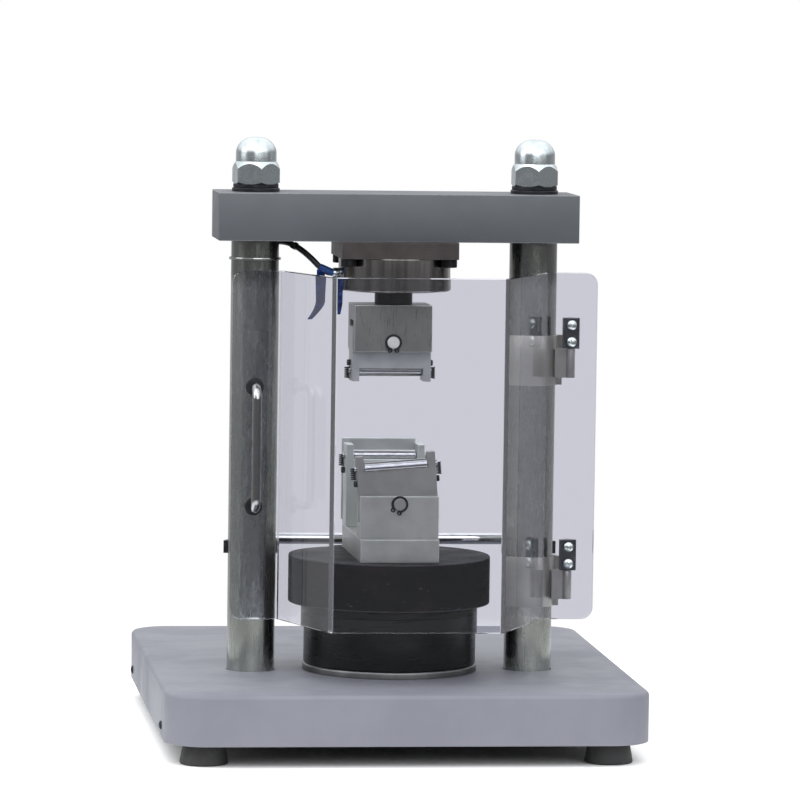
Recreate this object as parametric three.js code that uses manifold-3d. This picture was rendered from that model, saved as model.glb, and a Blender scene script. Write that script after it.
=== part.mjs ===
// A two-column hydraulic bench press with a load cell, self-aligning roller tooling and a
// hinged clear guard. Millimetres, +Z up, +Y away from the operator. The part stands on its
// feet at Z = 0, and its origin is the middle of the base. Everything above the base is built
// in the press frame: Z = 0 on top of the deck, with the ram's axis at X = Y = 0.
import * as THREE from "three";
import { mergeVertices } from "three/addons/utils/BufferGeometryUtils.js";
import Module from "manifold-3d";

const wasm = await Module();
wasm.setup();

// ---------------------------------------------------------------- driving dimensions
// The press frame in the part's frame.
const PRESS_AXIS_Y = -65;
const DECK_Z = 60;

// Base: a sheet-metal cover over a thick steel plate, on four feet.
const BASE_WIDTH = 400;
const BASE_DEPTH = 470;
const BASE_CORNER = 35;
const SHEET = 3;
const FOOT_HEIGHT = 18;
const FOOT_RADIUS = 20;
const FOOT_INSET = 33;
const BASE_PLATE_HEIGHT = 9;
const BED_WIDTH = 300;
const BED_DEPTH = 200;
const BED_HEIGHT = 30;

// Columns, crosshead and the nuts on top.
const COLUMN_X = 117.5;
const COLUMN_RADIUS = 20;
const STUD_RADIUS = 12;
const STUD_FIT = 0.3;
const CROSSHEAD_BOTTOM = 362;
const CROSSHEAD_TOP = 402;
const CROSSHEAD_WIDTH = 302;
const CROSSHEAD_DEPTH = 73;
const WASHER_HEIGHT = 3;
const SPRING_WASHER_HEIGHT = 3.5;
const NUT_FLATS = 36;
const NUT_HEIGHT = 18.5;
const NUT_CHAMFER = 6;
const DOME_RADIUS = 17;
const DOME_HEIGHT = 20.5;
const DOME_SHOULDER = 13;

// Load cell under the crosshead.
const PLATE_WIDTH = 98;
const PLATE_DEPTH = 88;
const PLATE_BOTTOM = 348;
const CELL_RADIUS = 47;
const CELL_BOTTOM = 320;
const COLLAR_RADIUS = 15.5;
const SPIGOT_RADIUS = 8;

// Upper tooling, hung from the load cell.
const UPPER_BLOCK_TOP = 308.5;
const UPPER_BLOCK_BOTTOM = 269.5;
const UPPER_BLOCK_DEPTH = 45;
const UPPER_WALL = 10;
const UPPER_TOOL_X = -2.3;
const UPPER_PIN_Z = 277.5;
const UPPER_ROLLER_Z = 252.5;
const UPPER_EAR_END = 244;
const TOOL_WIDTH = 65;
const PIN_RADIUS = 5;
const ROLLER_RADIUS = 5;
const STUB_RADIUS = 3;
const EAR_WIDTH = 6;
const RUNNING_FIT = 0.1;

// Lower tooling, on the platen.
const FIXTURE_BASE_TOP = 116.5;
const ROLLER_SPACING = 100;
const SUPPORT_DEPTH = 24;
const SUPPORT_WALL = 6;
const SUPPORT_TOP = 152;
const LOWER_PIN_Z = 145.5;
const LOWER_ROLLER_Z = 176.3;
const LOWER_EAR_END = 186.5;
const FRONT_TILT = THREE.MathUtils.degToRad(-4.5);
const STOP_LEFT = -33.5;
const STOP_RIGHT = 27.5;
const STOP_TOP = 190;

// Ram: platen, piston and cylinder.
const PLATEN_RADIUS = 82.5;
const PLATEN_BOTTOM = 57;
const PLATEN_TOP = 97;
const CYLINDER_RADIUS = 72.5;
const CYLINDER_TOP = 56;
const CYLINDER_BOTTOM = -40;
const SPIGOT_BODY_RADIUS = 58;
const PISTON_RADIUS = 45;
const RING_RADIUS = 73.5;
const RING_TOP = 6;

// Guard: a bent clear sheet on two lift-off hinges.
const GUARD_BOTTOM = 45;
const GUARD_TOP = 337;
const GUARD_SHEET = 4;
const GUARD_BACK_Y = -22;
const GUARD_FRONT_Y = -123;
const GUARD_LEFT = -138;
const GUARD_LEFT_BEND = -97;
const GUARD_FRONT_LEFT = -62.5;
const GUARD_FRONT_RIGHT = 79;
const GUARD_RIGHT_BEND = 125;
const GUARD_RIGHT = 169;
const GUARD_CORNER = 10;
const HINGE_X = 147.5;
const HINGE_Y = -17.5;
const HINGE_PIN_RADIUS = 2;
const HANDLE_X = -119;
const HANDLE_LOW = 140;
const HANDLE_HIGH = 240;

// ---------------------------------------------------------------- colours and finishes
const finish = (color, roughness, metalness, rest = {}) =>
  new THREE.MeshStandardMaterial({ color, roughness, metalness, ...rest });
const GREY_PAINT = finish(0x6b7075, 0.55, 0.3);
const DECK_PAINT = finish(0xa6a6b0, 0.5, 0.2);
const GROUND_STEEL = finish(0x50565a, 0.3, 0.9);
const TURNED_STEEL = finish(0x7d7a76, 0.3, 0.9);
const TOOL_STEEL = finish(0x808488, 0.4, 0.8);
const PLATE_STEEL = finish(0x585254, 0.5, 0.7);
const BLACK_OXIDE = finish(0x202228, 0.5, 0.5);
const BLACK_PAINT = finish(0x14161a, 0.35, 0.2);
const ZINC = finish(0xb8bec2, 0.2, 1);
const CHROME = finish(0xd8dadc, 0.1, 1);
const RUBBER = finish(0x1c1c1e, 0.9, 0);
const CLEAR = finish(0xc6c6d4, 0.1, 0, { transparent: true, opacity: 0.35 });

// ---------------------------------------------------------------- shapes
// A closed solid for cutting and joining, from a geometry in its own place.
function solid(geometry) {
  const bare = geometry.clone();
  bare.deleteAttribute("normal");
  bare.deleteAttribute("uv");
  const merged = mergeVertices(bare, 1e-4);
  return new wasm.Manifold(
    new wasm.Mesh({
      numProp: 3,
      vertProperties: merged.attributes.position.array,
      triVerts: new Uint32Array(merged.index.array),
    }),
  );
}

function geometryOf(made) {
  const mesh = made.getMesh();
  const geometry = new THREE.BufferGeometry();
  const positions = new THREE.Float32BufferAttribute(mesh.vertProperties, 3);
  geometry.setAttribute("position", positions);
  geometry.setIndex(new THREE.BufferAttribute(mesh.triVerts, 1));
  geometry.computeVertexNormals();
  return geometry;
}

// The first solid with the others cut out of it.
function cut(body, ...tools) {
  const start = body.isBufferGeometry ? solid(body) : body;
  return tools.reduce((made, tool) => made.subtract(solid(tool)), start);
}

function join(body, ...others) {
  const start = body.isBufferGeometry ? solid(body) : body;
  return others.reduce((made, other) => made.add(solid(other)), start);
}

// A box from its lowest to its highest corner.
function block(low, high) {
  const size = high.map((value, axis) => value - low[axis]);
  const middle = high.map((value, axis) => (value + low[axis]) / 2);
  return new THREE.BoxGeometry(...size).translate(...middle);
}

// Round bars along Z, Y and X.
function bar(radius, bottom, top, x = 0, y = 0, sides = 24) {
  const geometry = new THREE.CylinderGeometry(radius, radius, top - bottom, sides);
  return geometry.rotateX(Math.PI / 2).translate(x, y, (top + bottom) / 2);
}

function barY(radius, front, back, x, z, sides = 20) {
  const geometry = new THREE.CylinderGeometry(radius, radius, back - front, sides);
  return geometry.translate(x, (front + back) / 2, z);
}

function barX(radius, left, right, y, z, sides = 20) {
  const geometry = new THREE.CylinderGeometry(radius, radius, right - left, sides);
  return geometry.rotateZ(Math.PI / 2).translate((left + right) / 2, y, z);
}

// A body of revolution about Z from [radius, height] pairs, listed from the bottom up.
function turned(profile, x = 0, y = 0, sides = 24) {
  const points = profile.map(([radius, height]) => new THREE.Vector2(radius, height));
  return new THREE.LatheGeometry(points, sides).rotateX(Math.PI / 2).translate(x, y, 0);
}

// A plan outline in X and Y, raised from bottom to top.
function raised(shape, bottom, top, curveSegments = 4) {
  const options = { depth: top - bottom, bevelEnabled: false, curveSegments };
  return new THREE.ExtrudeGeometry(shape, options).translate(0, 0, bottom);
}

function roundedRectangle(width, depth, corner, centreY = 0) {
  const shape = new THREE.Shape();
  const x = width / 2 - corner;
  const y = depth / 2 - corner;
  shape.absarc(x, centreY + y, corner, 0, Math.PI / 2);
  shape.absarc(-x, centreY + y, corner, Math.PI / 2, Math.PI);
  shape.absarc(-x, centreY - y, corner, Math.PI, Math.PI * 1.5);
  shape.absarc(x, centreY - y, corner, Math.PI * 1.5, Math.PI * 2);
  shape.closePath();
  return shape;
}

// A rod of round section along a path.
function rod(points, radius, steps, sides) {
  const section = new THREE.Shape().absarc(0, 0, radius, 0, Math.PI * 2);
  const extrudePath = new THREE.CatmullRomCurve3(
    points.map((point) => new THREE.Vector3(...point)),
  );
  const curveSegments = sides / 2;
  return new THREE.ExtrudeGeometry(section, { extrudePath, steps, curveSegments });
}

const part = new THREE.Group();
const press = new THREE.Group();
press.position.set(0, PRESS_AXIS_Y, DECK_Z);
part.add(press);

function place(name, shape, material, parent = press) {
  const geometry = shape.isBufferGeometry ? shape : geometryOf(shape);
  const mesh = new THREE.Mesh(geometry, material);
  mesh.name = name;
  parent.add(mesh);
  return mesh;
}

const SIDES = [
  ["left", -1],
  ["right", 1],
];

// ---------------------------------------------------------------- base
// The cover is an open tray, bottom up, with holes for the columns, cylinder and cable.
const GROMMET_X = -COLUMN_X;
const GROMMET_Y = 34;
const GROMMET_RADIUS = 6;
const PIPE_Y = 84;
const PIPE_RADIUS = 5;
const NUT_CLEARANCE = 25;
const CYLINDER_SIDES = 36;
{
  const centreY = -PRESS_AXIS_Y;
  const outside = roundedRectangle(BASE_WIDTH, BASE_DEPTH, BASE_CORNER, centreY);
  const wide = BASE_WIDTH - 2 * SHEET;
  const deep = BASE_DEPTH - 2 * SHEET;
  const inside = roundedRectangle(wide, deep, BASE_CORNER - SHEET, centreY);
  const hem = FOOT_HEIGHT - DECK_Z;
  const cover = cut(
    raised(outside, hem, 0),
    raised(inside, hem - 1, -SHEET),
    bar(SPIGOT_BODY_RADIUS + 1, -SHEET - 1, 1, 0, 0, CYLINDER_SIDES),
    bar(COLUMN_RADIUS + 0.5, -SHEET - 1, 1, -COLUMN_X),
    bar(COLUMN_RADIUS + 0.5, -SHEET - 1, 1, COLUMN_X),
    bar(GROMMET_RADIUS, -SHEET - 1, 1, GROMMET_X, GROMMET_Y, 12),
    bar(PIPE_RADIUS + 1, -SHEET - 1, 1, 0, PIPE_Y, 12),
  );
  place("deck_cover", cover, DECK_PAINT);

  // The plate closes the cover's hem. Its holes clear the cylinder and the lower nuts.
  const fit = 1;
  const plateOutside = roundedRectangle(wide - fit, deep - fit, BASE_CORNER - SHEET, centreY);
  const plateTop = hem + BASE_PLATE_HEIGHT;
  const basePlate = cut(
    raised(plateOutside, hem, plateTop),
    bar(SPIGOT_BODY_RADIUS + 1, hem - 1, plateTop + 1, 0, 0, CYLINDER_SIDES),
    bar(NUT_CLEARANCE, hem - 1, plateTop + 1, -COLUMN_X),
    bar(NUT_CLEARANCE, hem - 1, plateTop + 1, COLUMN_X),
  );
  place("base_plate", basePlate, BLACK_OXIDE);

  const bed = cut(
    block([-BED_WIDTH / 2, -BED_DEPTH / 2, plateTop], [BED_WIDTH / 2, BED_DEPTH / 2, -SHEET]),
    bar(SPIGOT_BODY_RADIUS + STUD_FIT, plateTop - 1, 0, 0, 0, CYLINDER_SIDES),
    bar(STUD_RADIUS + STUD_FIT, plateTop - 1, 0, -COLUMN_X),
    bar(STUD_RADIUS + STUD_FIT, plateTop - 1, 0, COLUMN_X),
    bar(GROMMET_RADIUS, plateTop - 1, 0, GROMMET_X, GROMMET_Y, 12),
    bar(PIPE_RADIUS + 1, plateTop - 1, 0, 0, PIPE_Y, 12),
  );
  place("bed_beam", bed, PLATE_STEEL);

  for (const [row, y] of [["front", -1], ["rear", 1]])
    for (const [side, x] of SIDES) {
      const footX = x * (BASE_WIDTH / 2 - FOOT_INSET);
      const footY = y * (BASE_DEPTH / 2 - FOOT_INSET);
      const profile = [
        [0, 0],
        [FOOT_RADIUS, 0],
        [FOOT_RADIUS - 3, FOOT_HEIGHT],
        [0, FOOT_HEIGHT],
      ];
      place(`foot_${row}_${side}`, turned(profile, footX, footY, 20), RUBBER, part);
    }
}

// ---------------------------------------------------------------- columns and crosshead
const FLAT_WASHER_TOP = CROSSHEAD_TOP + WASHER_HEIGHT;
const NUT_BOTTOM = FLAT_WASHER_TOP + SPRING_WASHER_HEIGHT;
const NUT_TOP = NUT_BOTTOM + NUT_HEIGHT;
const STUD_TOP = NUT_TOP + 6;
const LOWER_NUT_HEIGHT = 17;
const BED_UNDERSIDE = -SHEET - BED_HEIGHT;
const NUT_TURN = { left: 8, right: 2 };

// A hexagon prism with a corner turned by the given angle.
function hexagon(bottom, top, x, angle) {
  const across = NUT_FLATS / Math.sqrt(3);
  const geometry = new THREE.CylinderGeometry(across, across, top - bottom, 6);
  geometry.rotateX(Math.PI / 2).rotateZ(angle);
  return geometry.translate(x, 0, (top + bottom) / 2);
}

for (const [side, sign] of SIDES) {
  const x = sign * COLUMN_X;
  const column = [
    [0, BED_UNDERSIDE - LOWER_NUT_HEIGHT + 1],
    [STUD_RADIUS, BED_UNDERSIDE - LOWER_NUT_HEIGHT + 1],
    [STUD_RADIUS, -SHEET],
    [COLUMN_RADIUS, -SHEET],
    [COLUMN_RADIUS, CROSSHEAD_BOTTOM],
    [STUD_RADIUS, CROSSHEAD_BOTTOM],
    [STUD_RADIUS, STUD_TOP],
    [0, STUD_TOP],
  ];
  place(`column_${side}`, turned(column, x), GROUND_STEEL);

  const lowerHex = hexagon(BED_UNDERSIDE - LOWER_NUT_HEIGHT, BED_UNDERSIDE, x, 0);
  const lowerHole = bar(STUD_RADIUS + STUD_FIT, BED_UNDERSIDE - 30, BED_UNDERSIDE + 1, x);
  place(`column_nut_${side}`, cut(lowerHex, lowerHole), ZINC);

  const hole = bar(STUD_RADIUS + STUD_FIT, CROSSHEAD_TOP - 1, NUT_BOTTOM + 1, x);
  const flat = cut(bar(STUD_RADIUS + 8, CROSSHEAD_TOP, FLAT_WASHER_TOP, x), hole);
  place(`flat_washer_${side}`, flat, BLACK_OXIDE);

  // The spring washer is split at the back.
  const split = block([x - 1, 0, FLAT_WASHER_TOP - 1], [x + 1, 30, NUT_BOTTOM + 1]);
  const spring = cut(bar(STUD_RADIUS + 7, FLAT_WASHER_TOP, NUT_BOTTOM, x), hole, split);
  place(`spring_washer_${side}`, spring, BLACK_OXIDE);

  // A hexagon with a chamfered top corner, under a round dome, with a blind thread.
  const chamfer = [
    [0, NUT_BOTTOM],
    [NUT_FLATS / 2 + 0.5, NUT_BOTTOM],
    [NUT_FLATS / 2 + 3, NUT_BOTTOM + 1.5],
    [NUT_FLATS / 2 + 3, NUT_TOP - NUT_CHAMFER],
    [DOME_RADIUS, NUT_TOP],
    [0, NUT_TOP],
  ];
  const crown = NUT_TOP + DOME_HEIGHT;
  const dome = [
    [0, NUT_TOP - 1],
    [DOME_RADIUS, NUT_TOP - 1],
    [DOME_RADIUS, crown - DOME_SHOULDER],
    [DOME_RADIUS - 1.2, crown - 8.5],
    [DOME_RADIUS - 4, crown - 4.3],
    [DOME_RADIUS - 8.5, crown - 1.4],
    [0, crown],
  ];
  const angle = THREE.MathUtils.degToRad(NUT_TURN[side]);
  const hex = solid(hexagon(NUT_BOTTOM, NUT_TOP, x, angle)).intersect(solid(turned(chamfer, x)));
  const bore = bar(STUD_RADIUS + STUD_FIT, NUT_BOTTOM - 1, STUD_TOP + 3, x);
  place(`acorn_nut_${side}`, cut(join(hex, turned(dome, x)), bore), ZINC);
}

const CELL_SCREW_X = 42.2;
const CELL_SCREW_Y = 33;
const CELL_SCREWS = [
  ["front_left", -1, -1],
  ["front_right", 1, -1],
  ["rear_left", -1, 1],
  ["rear_right", 1, 1],
];
const SCREW_RADIUS = 3;
const SCREW_DEPTH = 18;
const SCREW_HEAD_RADIUS = 6.5;
const SCREW_HEAD_HEIGHT = 7;
const SOCKET_RADIUS = 3.5;
const SOCKET_DEPTH = 4;
{
  const low = [-CROSSHEAD_WIDTH / 2, -CROSSHEAD_DEPTH / 2, CROSSHEAD_BOTTOM];
  const high = [CROSSHEAD_WIDTH / 2, CROSSHEAD_DEPTH / 2, CROSSHEAD_TOP];
  const plateLow = [-PLATE_WIDTH / 2, -PLATE_DEPTH / 2, PLATE_BOTTOM];
  const plateHigh = [PLATE_WIDTH / 2, PLATE_DEPTH / 2, CROSSHEAD_BOTTOM];
  const threads = [];
  for (const [name, x, y] of CELL_SCREWS) {
    const placeX = x * CELL_SCREW_X;
    const placeY = y * CELL_SCREW_Y;
    const thread = CROSSHEAD_BOTTOM + SCREW_DEPTH;
    const headBottom = PLATE_BOTTOM - SCREW_HEAD_HEIGHT;
    threads.push(bar(SCREW_RADIUS + 0.3, PLATE_BOTTOM - 1, thread, placeX, placeY, 12));
    const screw = join(
      bar(SCREW_RADIUS, PLATE_BOTTOM - 1, thread - 2, placeX, placeY, 12),
      bar(SCREW_HEAD_RADIUS, headBottom, PLATE_BOTTOM, placeX, placeY, 16),
    );
    const socket = bar(
      SOCKET_RADIUS,
      headBottom - SOCKET_DEPTH,
      headBottom + SOCKET_DEPTH,
      placeX,
      placeY,
      6,
    );
    place(`cell_screw_${name}`, cut(screw, socket), BLACK_OXIDE);
  }
  const bores = SIDES.map(([, sign]) =>
    bar(STUD_RADIUS + STUD_FIT, CROSSHEAD_BOTTOM - 1, CROSSHEAD_TOP + 1, sign * COLUMN_X),
  );
  place("crosshead", cut(block(low, high), ...bores, ...threads), GREY_PAINT);
  place("cell_mount_plate", cut(block(plateLow, plateHigh), ...threads), PLATE_STEEL);
}

// ---------------------------------------------------------------- load cell and its cable
{
  // A turned puck with a threaded spigot below.
  const profile = [
    [0, UPPER_BLOCK_TOP - 8],
    [SPIGOT_RADIUS, UPPER_BLOCK_TOP - 8],
    [SPIGOT_RADIUS, CELL_BOTTOM],
    [CELL_RADIUS - 2, CELL_BOTTOM],
    [CELL_RADIUS, CELL_BOTTOM + 2],
    [CELL_RADIUS, PLATE_BOTTOM],
    [0, PLATE_BOTTOM],
  ];
  place("load_cell", turned(profile, 0, 0, CYLINDER_SIDES), TURNED_STEEL);

  const collar = [
    [SPIGOT_RADIUS + STUD_FIT, UPPER_BLOCK_TOP],
    [COLLAR_RADIUS, UPPER_BLOCK_TOP],
    [COLLAR_RADIUS, CELL_BOTTOM - 3],
    [COLLAR_RADIUS - 0.9, CELL_BOTTOM - 0.9],
    [COLLAR_RADIUS - 3, CELL_BOTTOM],
    [SPIGOT_RADIUS + STUD_FIT, CELL_BOTTOM],
    [SPIGOT_RADIUS + STUD_FIT, UPPER_BLOCK_TOP],
  ];
  place("seat_collar", turned(collar), BLACK_OXIDE);
}

// A short gland stands on the cell's side, and the cable runs from it up under the crosshead,
// round the back of the left column, down behind it and through the deck.
const GLAND_Z = 334;
const GLAND_RADIUS = 4.5;
const GLAND_REACH = 5;
const CABLE_RADIUS = 2.5;
const CABLE_BACK_Y = 24;
const CABLE_ROUTE = [
  [-CELL_RADIUS - GLAND_REACH - 0.6, 0, GLAND_Z],
  [-57, 0, GLAND_Z + 0.8],
  [-63, 0.5, GLAND_Z + 5],
  [-70, 2, GLAND_Z + 12],
  [-77, 5, GLAND_Z + 18],
  [-85, 10, GLAND_Z + 23],
  [-94, 17, GLAND_Z + 25],
  [-104, 24, GLAND_Z + 23],
  [-113, 27.5, GLAND_Z + 14],
  [-117.5, 26.5, GLAND_Z],
  [-117.5, CABLE_BACK_Y, 300],
  [-117.5, CABLE_BACK_Y, 200],
  [-117.5, CABLE_BACK_Y, 100],
  [-117.5, CABLE_BACK_Y, 50],
  [-117.5, CABLE_BACK_Y + 2, 34],
  [GROMMET_X, GROMMET_Y - 2, 16],
  [GROMMET_X, GROMMET_Y, 4],
  [GROMMET_X, GROMMET_Y, -10],
  [GROMMET_X, GROMMET_Y, -30],
];
{
  const root = CELL_RADIUS - 0.8;
  const gland = barX(GLAND_RADIUS, -CELL_RADIUS - GLAND_REACH, -root, 0, GLAND_Z, 16);
  const cell = bar(CELL_RADIUS + RUNNING_FIT, CELL_BOTTOM, PLATE_BOTTOM, 0, 0, CYLINDER_SIDES);
  place("cell_cable_gland", cut(gland, cell), ZINC);
  place("load_cell_cable", rod(CABLE_ROUTE, CABLE_RADIUS, 48, 8), RUBBER);

  // A wire ring round the column and the cable behind it.
  const ringZ = 346;
  const ring = turned(
    [
      [COLUMN_RADIUS + 0.3, ringZ - 1],
      [COLUMN_RADIUS + 1.8, ringZ - 1],
      [COLUMN_RADIUS + 1.8, ringZ + 1],
      [COLUMN_RADIUS + 0.3, ringZ + 1],
      [COLUMN_RADIUS + 0.3, ringZ - 1],
    ],
    -COLUMN_X,
  );
  place("cable_ring", ring, ZINC);

  // A rubber grommet lines the deck's hole.
  const grommet = turned(
    [
      [CABLE_RADIUS + 0.4, -SHEET],
      [GROMMET_RADIUS - 0.3, -SHEET],
      [GROMMET_RADIUS - 0.3, 0],
      [GROMMET_RADIUS + 2, 0],
      [GROMMET_RADIUS + 1, 2],
      [CABLE_RADIUS + 0.4, 2],
      [CABLE_RADIUS + 0.4, -SHEET],
    ],
    GROMMET_X,
    GROMMET_Y,
    16,
  );
  place("cable_grommet", grommet, RUBBER);
}

// ---------------------------------------------------------------- roller tooling
// A rocker is a plate with two ears past its roller, and it turns on a pin along Y. Its ears
// end at one height and its plain side at the other, above or below the pin.
function rocker(pinZ, rollerZ, earEnd, farEnd, depth) {
  const up = Math.sign(earEnd - pinZ);
  const web = rollerZ - up * 2.5;
  const half = TOOL_WIDTH / 2;
  const low = Math.min(farEnd, earEnd);
  const high = Math.max(farEnd, earEnd);
  const gapLow = Math.min(web, earEnd + up);
  const gapHigh = Math.max(web, earEnd + up);
  const gap = half - EAR_WIDTH;
  const reach = depth / 2 + 1;
  return cut(
    block([-half, -depth / 2, low], [half, depth / 2, high]),
    block([-gap, -reach, gapLow], [gap, reach, gapHigh]),
    barX(ROLLER_RADIUS + 0.3, -gap, gap, 0, rollerZ, 20),
    barX(STUB_RADIUS + RUNNING_FIT, -half - 1, half + 1, 0, rollerZ, 16),
    barY(PIN_RADIUS + RUNNING_FIT, -reach, reach, 0, pinZ),
  );
}

function roller(rollerZ) {
  const half = TOOL_WIDTH / 2;
  const between = half - EAR_WIDTH - 0.4;
  return join(
    barX(ROLLER_RADIUS, -between, between, 0, rollerZ, 20),
    barX(STUB_RADIUS, -half - 2, half + 2, 0, rollerZ, 16),
  );
}

// An open ring that snaps round the pin's end, with its gap turned by an angle from straight
// down.
function circlip(pinZ, faceY, gapAngle) {
  const outer = PIN_RADIUS + 1.6;
  const ring = cut(
    barY(outer, faceY - 1.3, faceY - 0.1, 0, 0),
    barY(PIN_RADIUS - 0.4, faceY - 2, faceY + 1, 0, 0),
  );
  const opening = block([-1.5, faceY - 2, -outer - 1], [1.5, faceY + 1, 0]);
  const clip = geometryOf(cut(ring, opening));
  return clip.rotateY(gapAngle).translate(0, 0, pinZ);
}

// A pin along Y with a groove near its front end for the circlip.
function pivotPin(pinZ, front, back) {
  const groove = cut(
    barY(PIN_RADIUS + 1, front - 1.5, front + 0.1, 0, pinZ),
    barY(PIN_RADIUS - 0.6, front - 3, front + 1, 0, pinZ),
  );
  const pin = barY(PIN_RADIUS, front - 2.5, back, 0, pinZ);
  return solid(pin).subtract(groove);
}

{
  // The upper block is an upside-down fork, threaded for the cell's spigot a little to the
  // right of its middle.
  const upper = new THREE.Group();
  upper.position.x = UPPER_TOOL_X;
  press.add(upper);
  const half = TOOL_WIDTH / 2 - 0.5;
  const front = UPPER_BLOCK_DEPTH / 2;
  const slot = front - UPPER_WALL;
  const slotTop = UPPER_BLOCK_TOP - 13.5;
  const fork = cut(
    block([-half, -front, UPPER_BLOCK_BOTTOM], [half, front, UPPER_BLOCK_TOP]),
    block([-half - 1, -slot, UPPER_BLOCK_BOTTOM - 1], [half + 1, slot, slotTop]),
    bar(SPIGOT_RADIUS + STUD_FIT, UPPER_BLOCK_TOP - 9, UPPER_BLOCK_TOP + 1, -UPPER_TOOL_X),
    barY(PIN_RADIUS + STUD_FIT, -front - 1, front + 1, 0, UPPER_PIN_Z),
  );
  place("upper_block", fork, TOOL_STEEL, upper);
  place("upper_pin", pivotPin(UPPER_PIN_Z, -front, front), ZINC, upper);
  place("upper_circlip", circlip(UPPER_PIN_Z, -front, 0), BLACK_OXIDE, upper);
  const depth = 2 * slot - 0.6;
  const top = UPPER_PIN_Z + 12;
  const hung = rocker(UPPER_PIN_Z, UPPER_ROLLER_Z, UPPER_EAR_END, top, depth);
  place("upper_rocker", hung, TOOL_STEEL, upper);
  place("upper_roller", roller(UPPER_ROLLER_Z), CHROME, upper);
}

const FRONT_Y = -ROLLER_SPACING / 2;
const REAR_Y = ROLLER_SPACING / 2;
const SUPPORT_FLOOR = FIXTURE_BASE_TOP + 11.75;
const FIXTURE_FRONT = FRONT_Y - SUPPORT_DEPTH / 2 - 6;
const FIXTURE_REAR = REAR_Y + SUPPORT_DEPTH / 2;
{
  const half = TOOL_WIDTH / 2;
  const deep = SUPPORT_DEPTH / 2;
  const slot = deep - SUPPORT_WALL;
  const rockerDepth = 2 * slot - 0.6;
  place(
    "fixture_base",
    block([-half, FIXTURE_FRONT, PLATEN_TOP], [half, FIXTURE_REAR, FIXTURE_BASE_TOP]),
    TOOL_STEEL,
  );

  // The front support is a fork, and its rocker tilts in it to meet the specimen.
  const front = new THREE.Group();
  front.position.y = FRONT_Y;
  press.add(front);
  const fork = cut(
    block([-half, -deep, FIXTURE_BASE_TOP], [half, deep, SUPPORT_TOP]),
    block([-half - 1, -slot, SUPPORT_FLOOR], [half + 1, slot, SUPPORT_TOP + 1]),
    barY(PIN_RADIUS + STUD_FIT, -deep - 1, deep + 1, 0, LOWER_PIN_Z),
  );
  place("front_support", fork, TOOL_STEEL, front);
  place("front_pin", pivotPin(LOWER_PIN_Z, -deep, deep), ZINC, front);
  const clipTurn = THREE.MathUtils.degToRad(35);
  place("front_circlip", circlip(LOWER_PIN_Z, -deep, clipTurn), BLACK_OXIDE, front);
  const tilted = new THREE.Group();
  tilted.position.z = LOWER_PIN_Z;
  tilted.rotation.y = FRONT_TILT;
  front.add(tilted);
  const rollerAbove = LOWER_ROLLER_Z - LOWER_PIN_Z;
  const earAbove = LOWER_EAR_END - LOWER_PIN_Z;
  const rocking = rocker(0, rollerAbove, earAbove, -14, rockerDepth);
  place("front_rocker", rocking, TOOL_STEEL, tilted);
  place("front_roller", roller(rollerAbove), CHROME, tilted);

  // The rear saddle is one fixed block with two ears, and a stop plate is screwed behind it.
  const rear = new THREE.Group();
  rear.position.y = REAR_Y;
  press.add(rear);
  const gap = half - EAR_WIDTH;
  const saddle = cut(
    block([-half, -deep, FIXTURE_BASE_TOP], [half, deep, LOWER_EAR_END]),
    block([-gap, -deep - 1, LOWER_ROLLER_Z - 2.5], [gap, deep + 1, LOWER_EAR_END + 1]),
    barX(ROLLER_RADIUS + 0.3, -gap, gap, 0, LOWER_ROLLER_Z, 20),
    barX(STUB_RADIUS + RUNNING_FIT, -half - 1, half + 1, 0, LOWER_ROLLER_Z, 16),
  );
  place("rear_saddle", saddle, TOOL_STEEL, rear);
  place("rear_roller", roller(LOWER_ROLLER_Z), CHROME, rear);
  const stopLow = [STOP_LEFT, deep, FIXTURE_BASE_TOP + 4];
  const stop = block(stopLow, [STOP_RIGHT, deep + 4, STOP_TOP]);
  place("stop_plate", stop, TOOL_STEEL, rear);
}

// ---------------------------------------------------------------- ram
{
  const boreBottom = CYLINDER_BOTTOM + 8;
  const cylinder = [
    [0, CYLINDER_BOTTOM],
    [SPIGOT_BODY_RADIUS, CYLINDER_BOTTOM],
    [SPIGOT_BODY_RADIUS, RING_TOP],
    [CYLINDER_RADIUS, RING_TOP],
    [CYLINDER_RADIUS, CYLINDER_TOP],
    [PISTON_RADIUS + RUNNING_FIT, CYLINDER_TOP],
    [PISTON_RADIUS + RUNNING_FIT, boreBottom],
    [0, boreBottom],
  ];
  const port = barY(4, 40, 90, 0, 20, 16);
  place("cylinder_body", cut(turned(cylinder, 0, 0, CYLINDER_SIDES), port), BLACK_PAINT);
  const ring = [
    [SPIGOT_BODY_RADIUS + STUD_FIT, 0],
    [RING_RADIUS, 0],
    [RING_RADIUS, RING_TOP],
    [SPIGOT_BODY_RADIUS + STUD_FIT, RING_TOP],
    [SPIGOT_BODY_RADIUS + STUD_FIT, 0],
  ];
  place("cylinder_ring", turned(ring, 0, 0, CYLINDER_SIDES), TURNED_STEEL);
  const piston = bar(PISTON_RADIUS, boreBottom + 5, PLATEN_BOTTOM, 0, 0, CYLINDER_SIDES);
  place("piston", piston, GROUND_STEEL);
  const platen = bar(PLATEN_RADIUS, PLATEN_BOTTOM, PLATEN_TOP, 0, 0, CYLINDER_SIDES);
  place("platen", platen, BLACK_PAINT);

  // An elbow feeds the cylinder's rear port from a pipe that comes up through the deck.
  const nose = CYLINDER_RADIUS + STUD_FIT;
  const elbow = join(
    barY(8, nose, PIPE_Y + 8, 0, 20, 16),
    bar(PIPE_RADIUS, -20, 20, 0, PIPE_Y, 16),
  );
  place("oil_elbow", elbow, ZINC);
}

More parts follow.
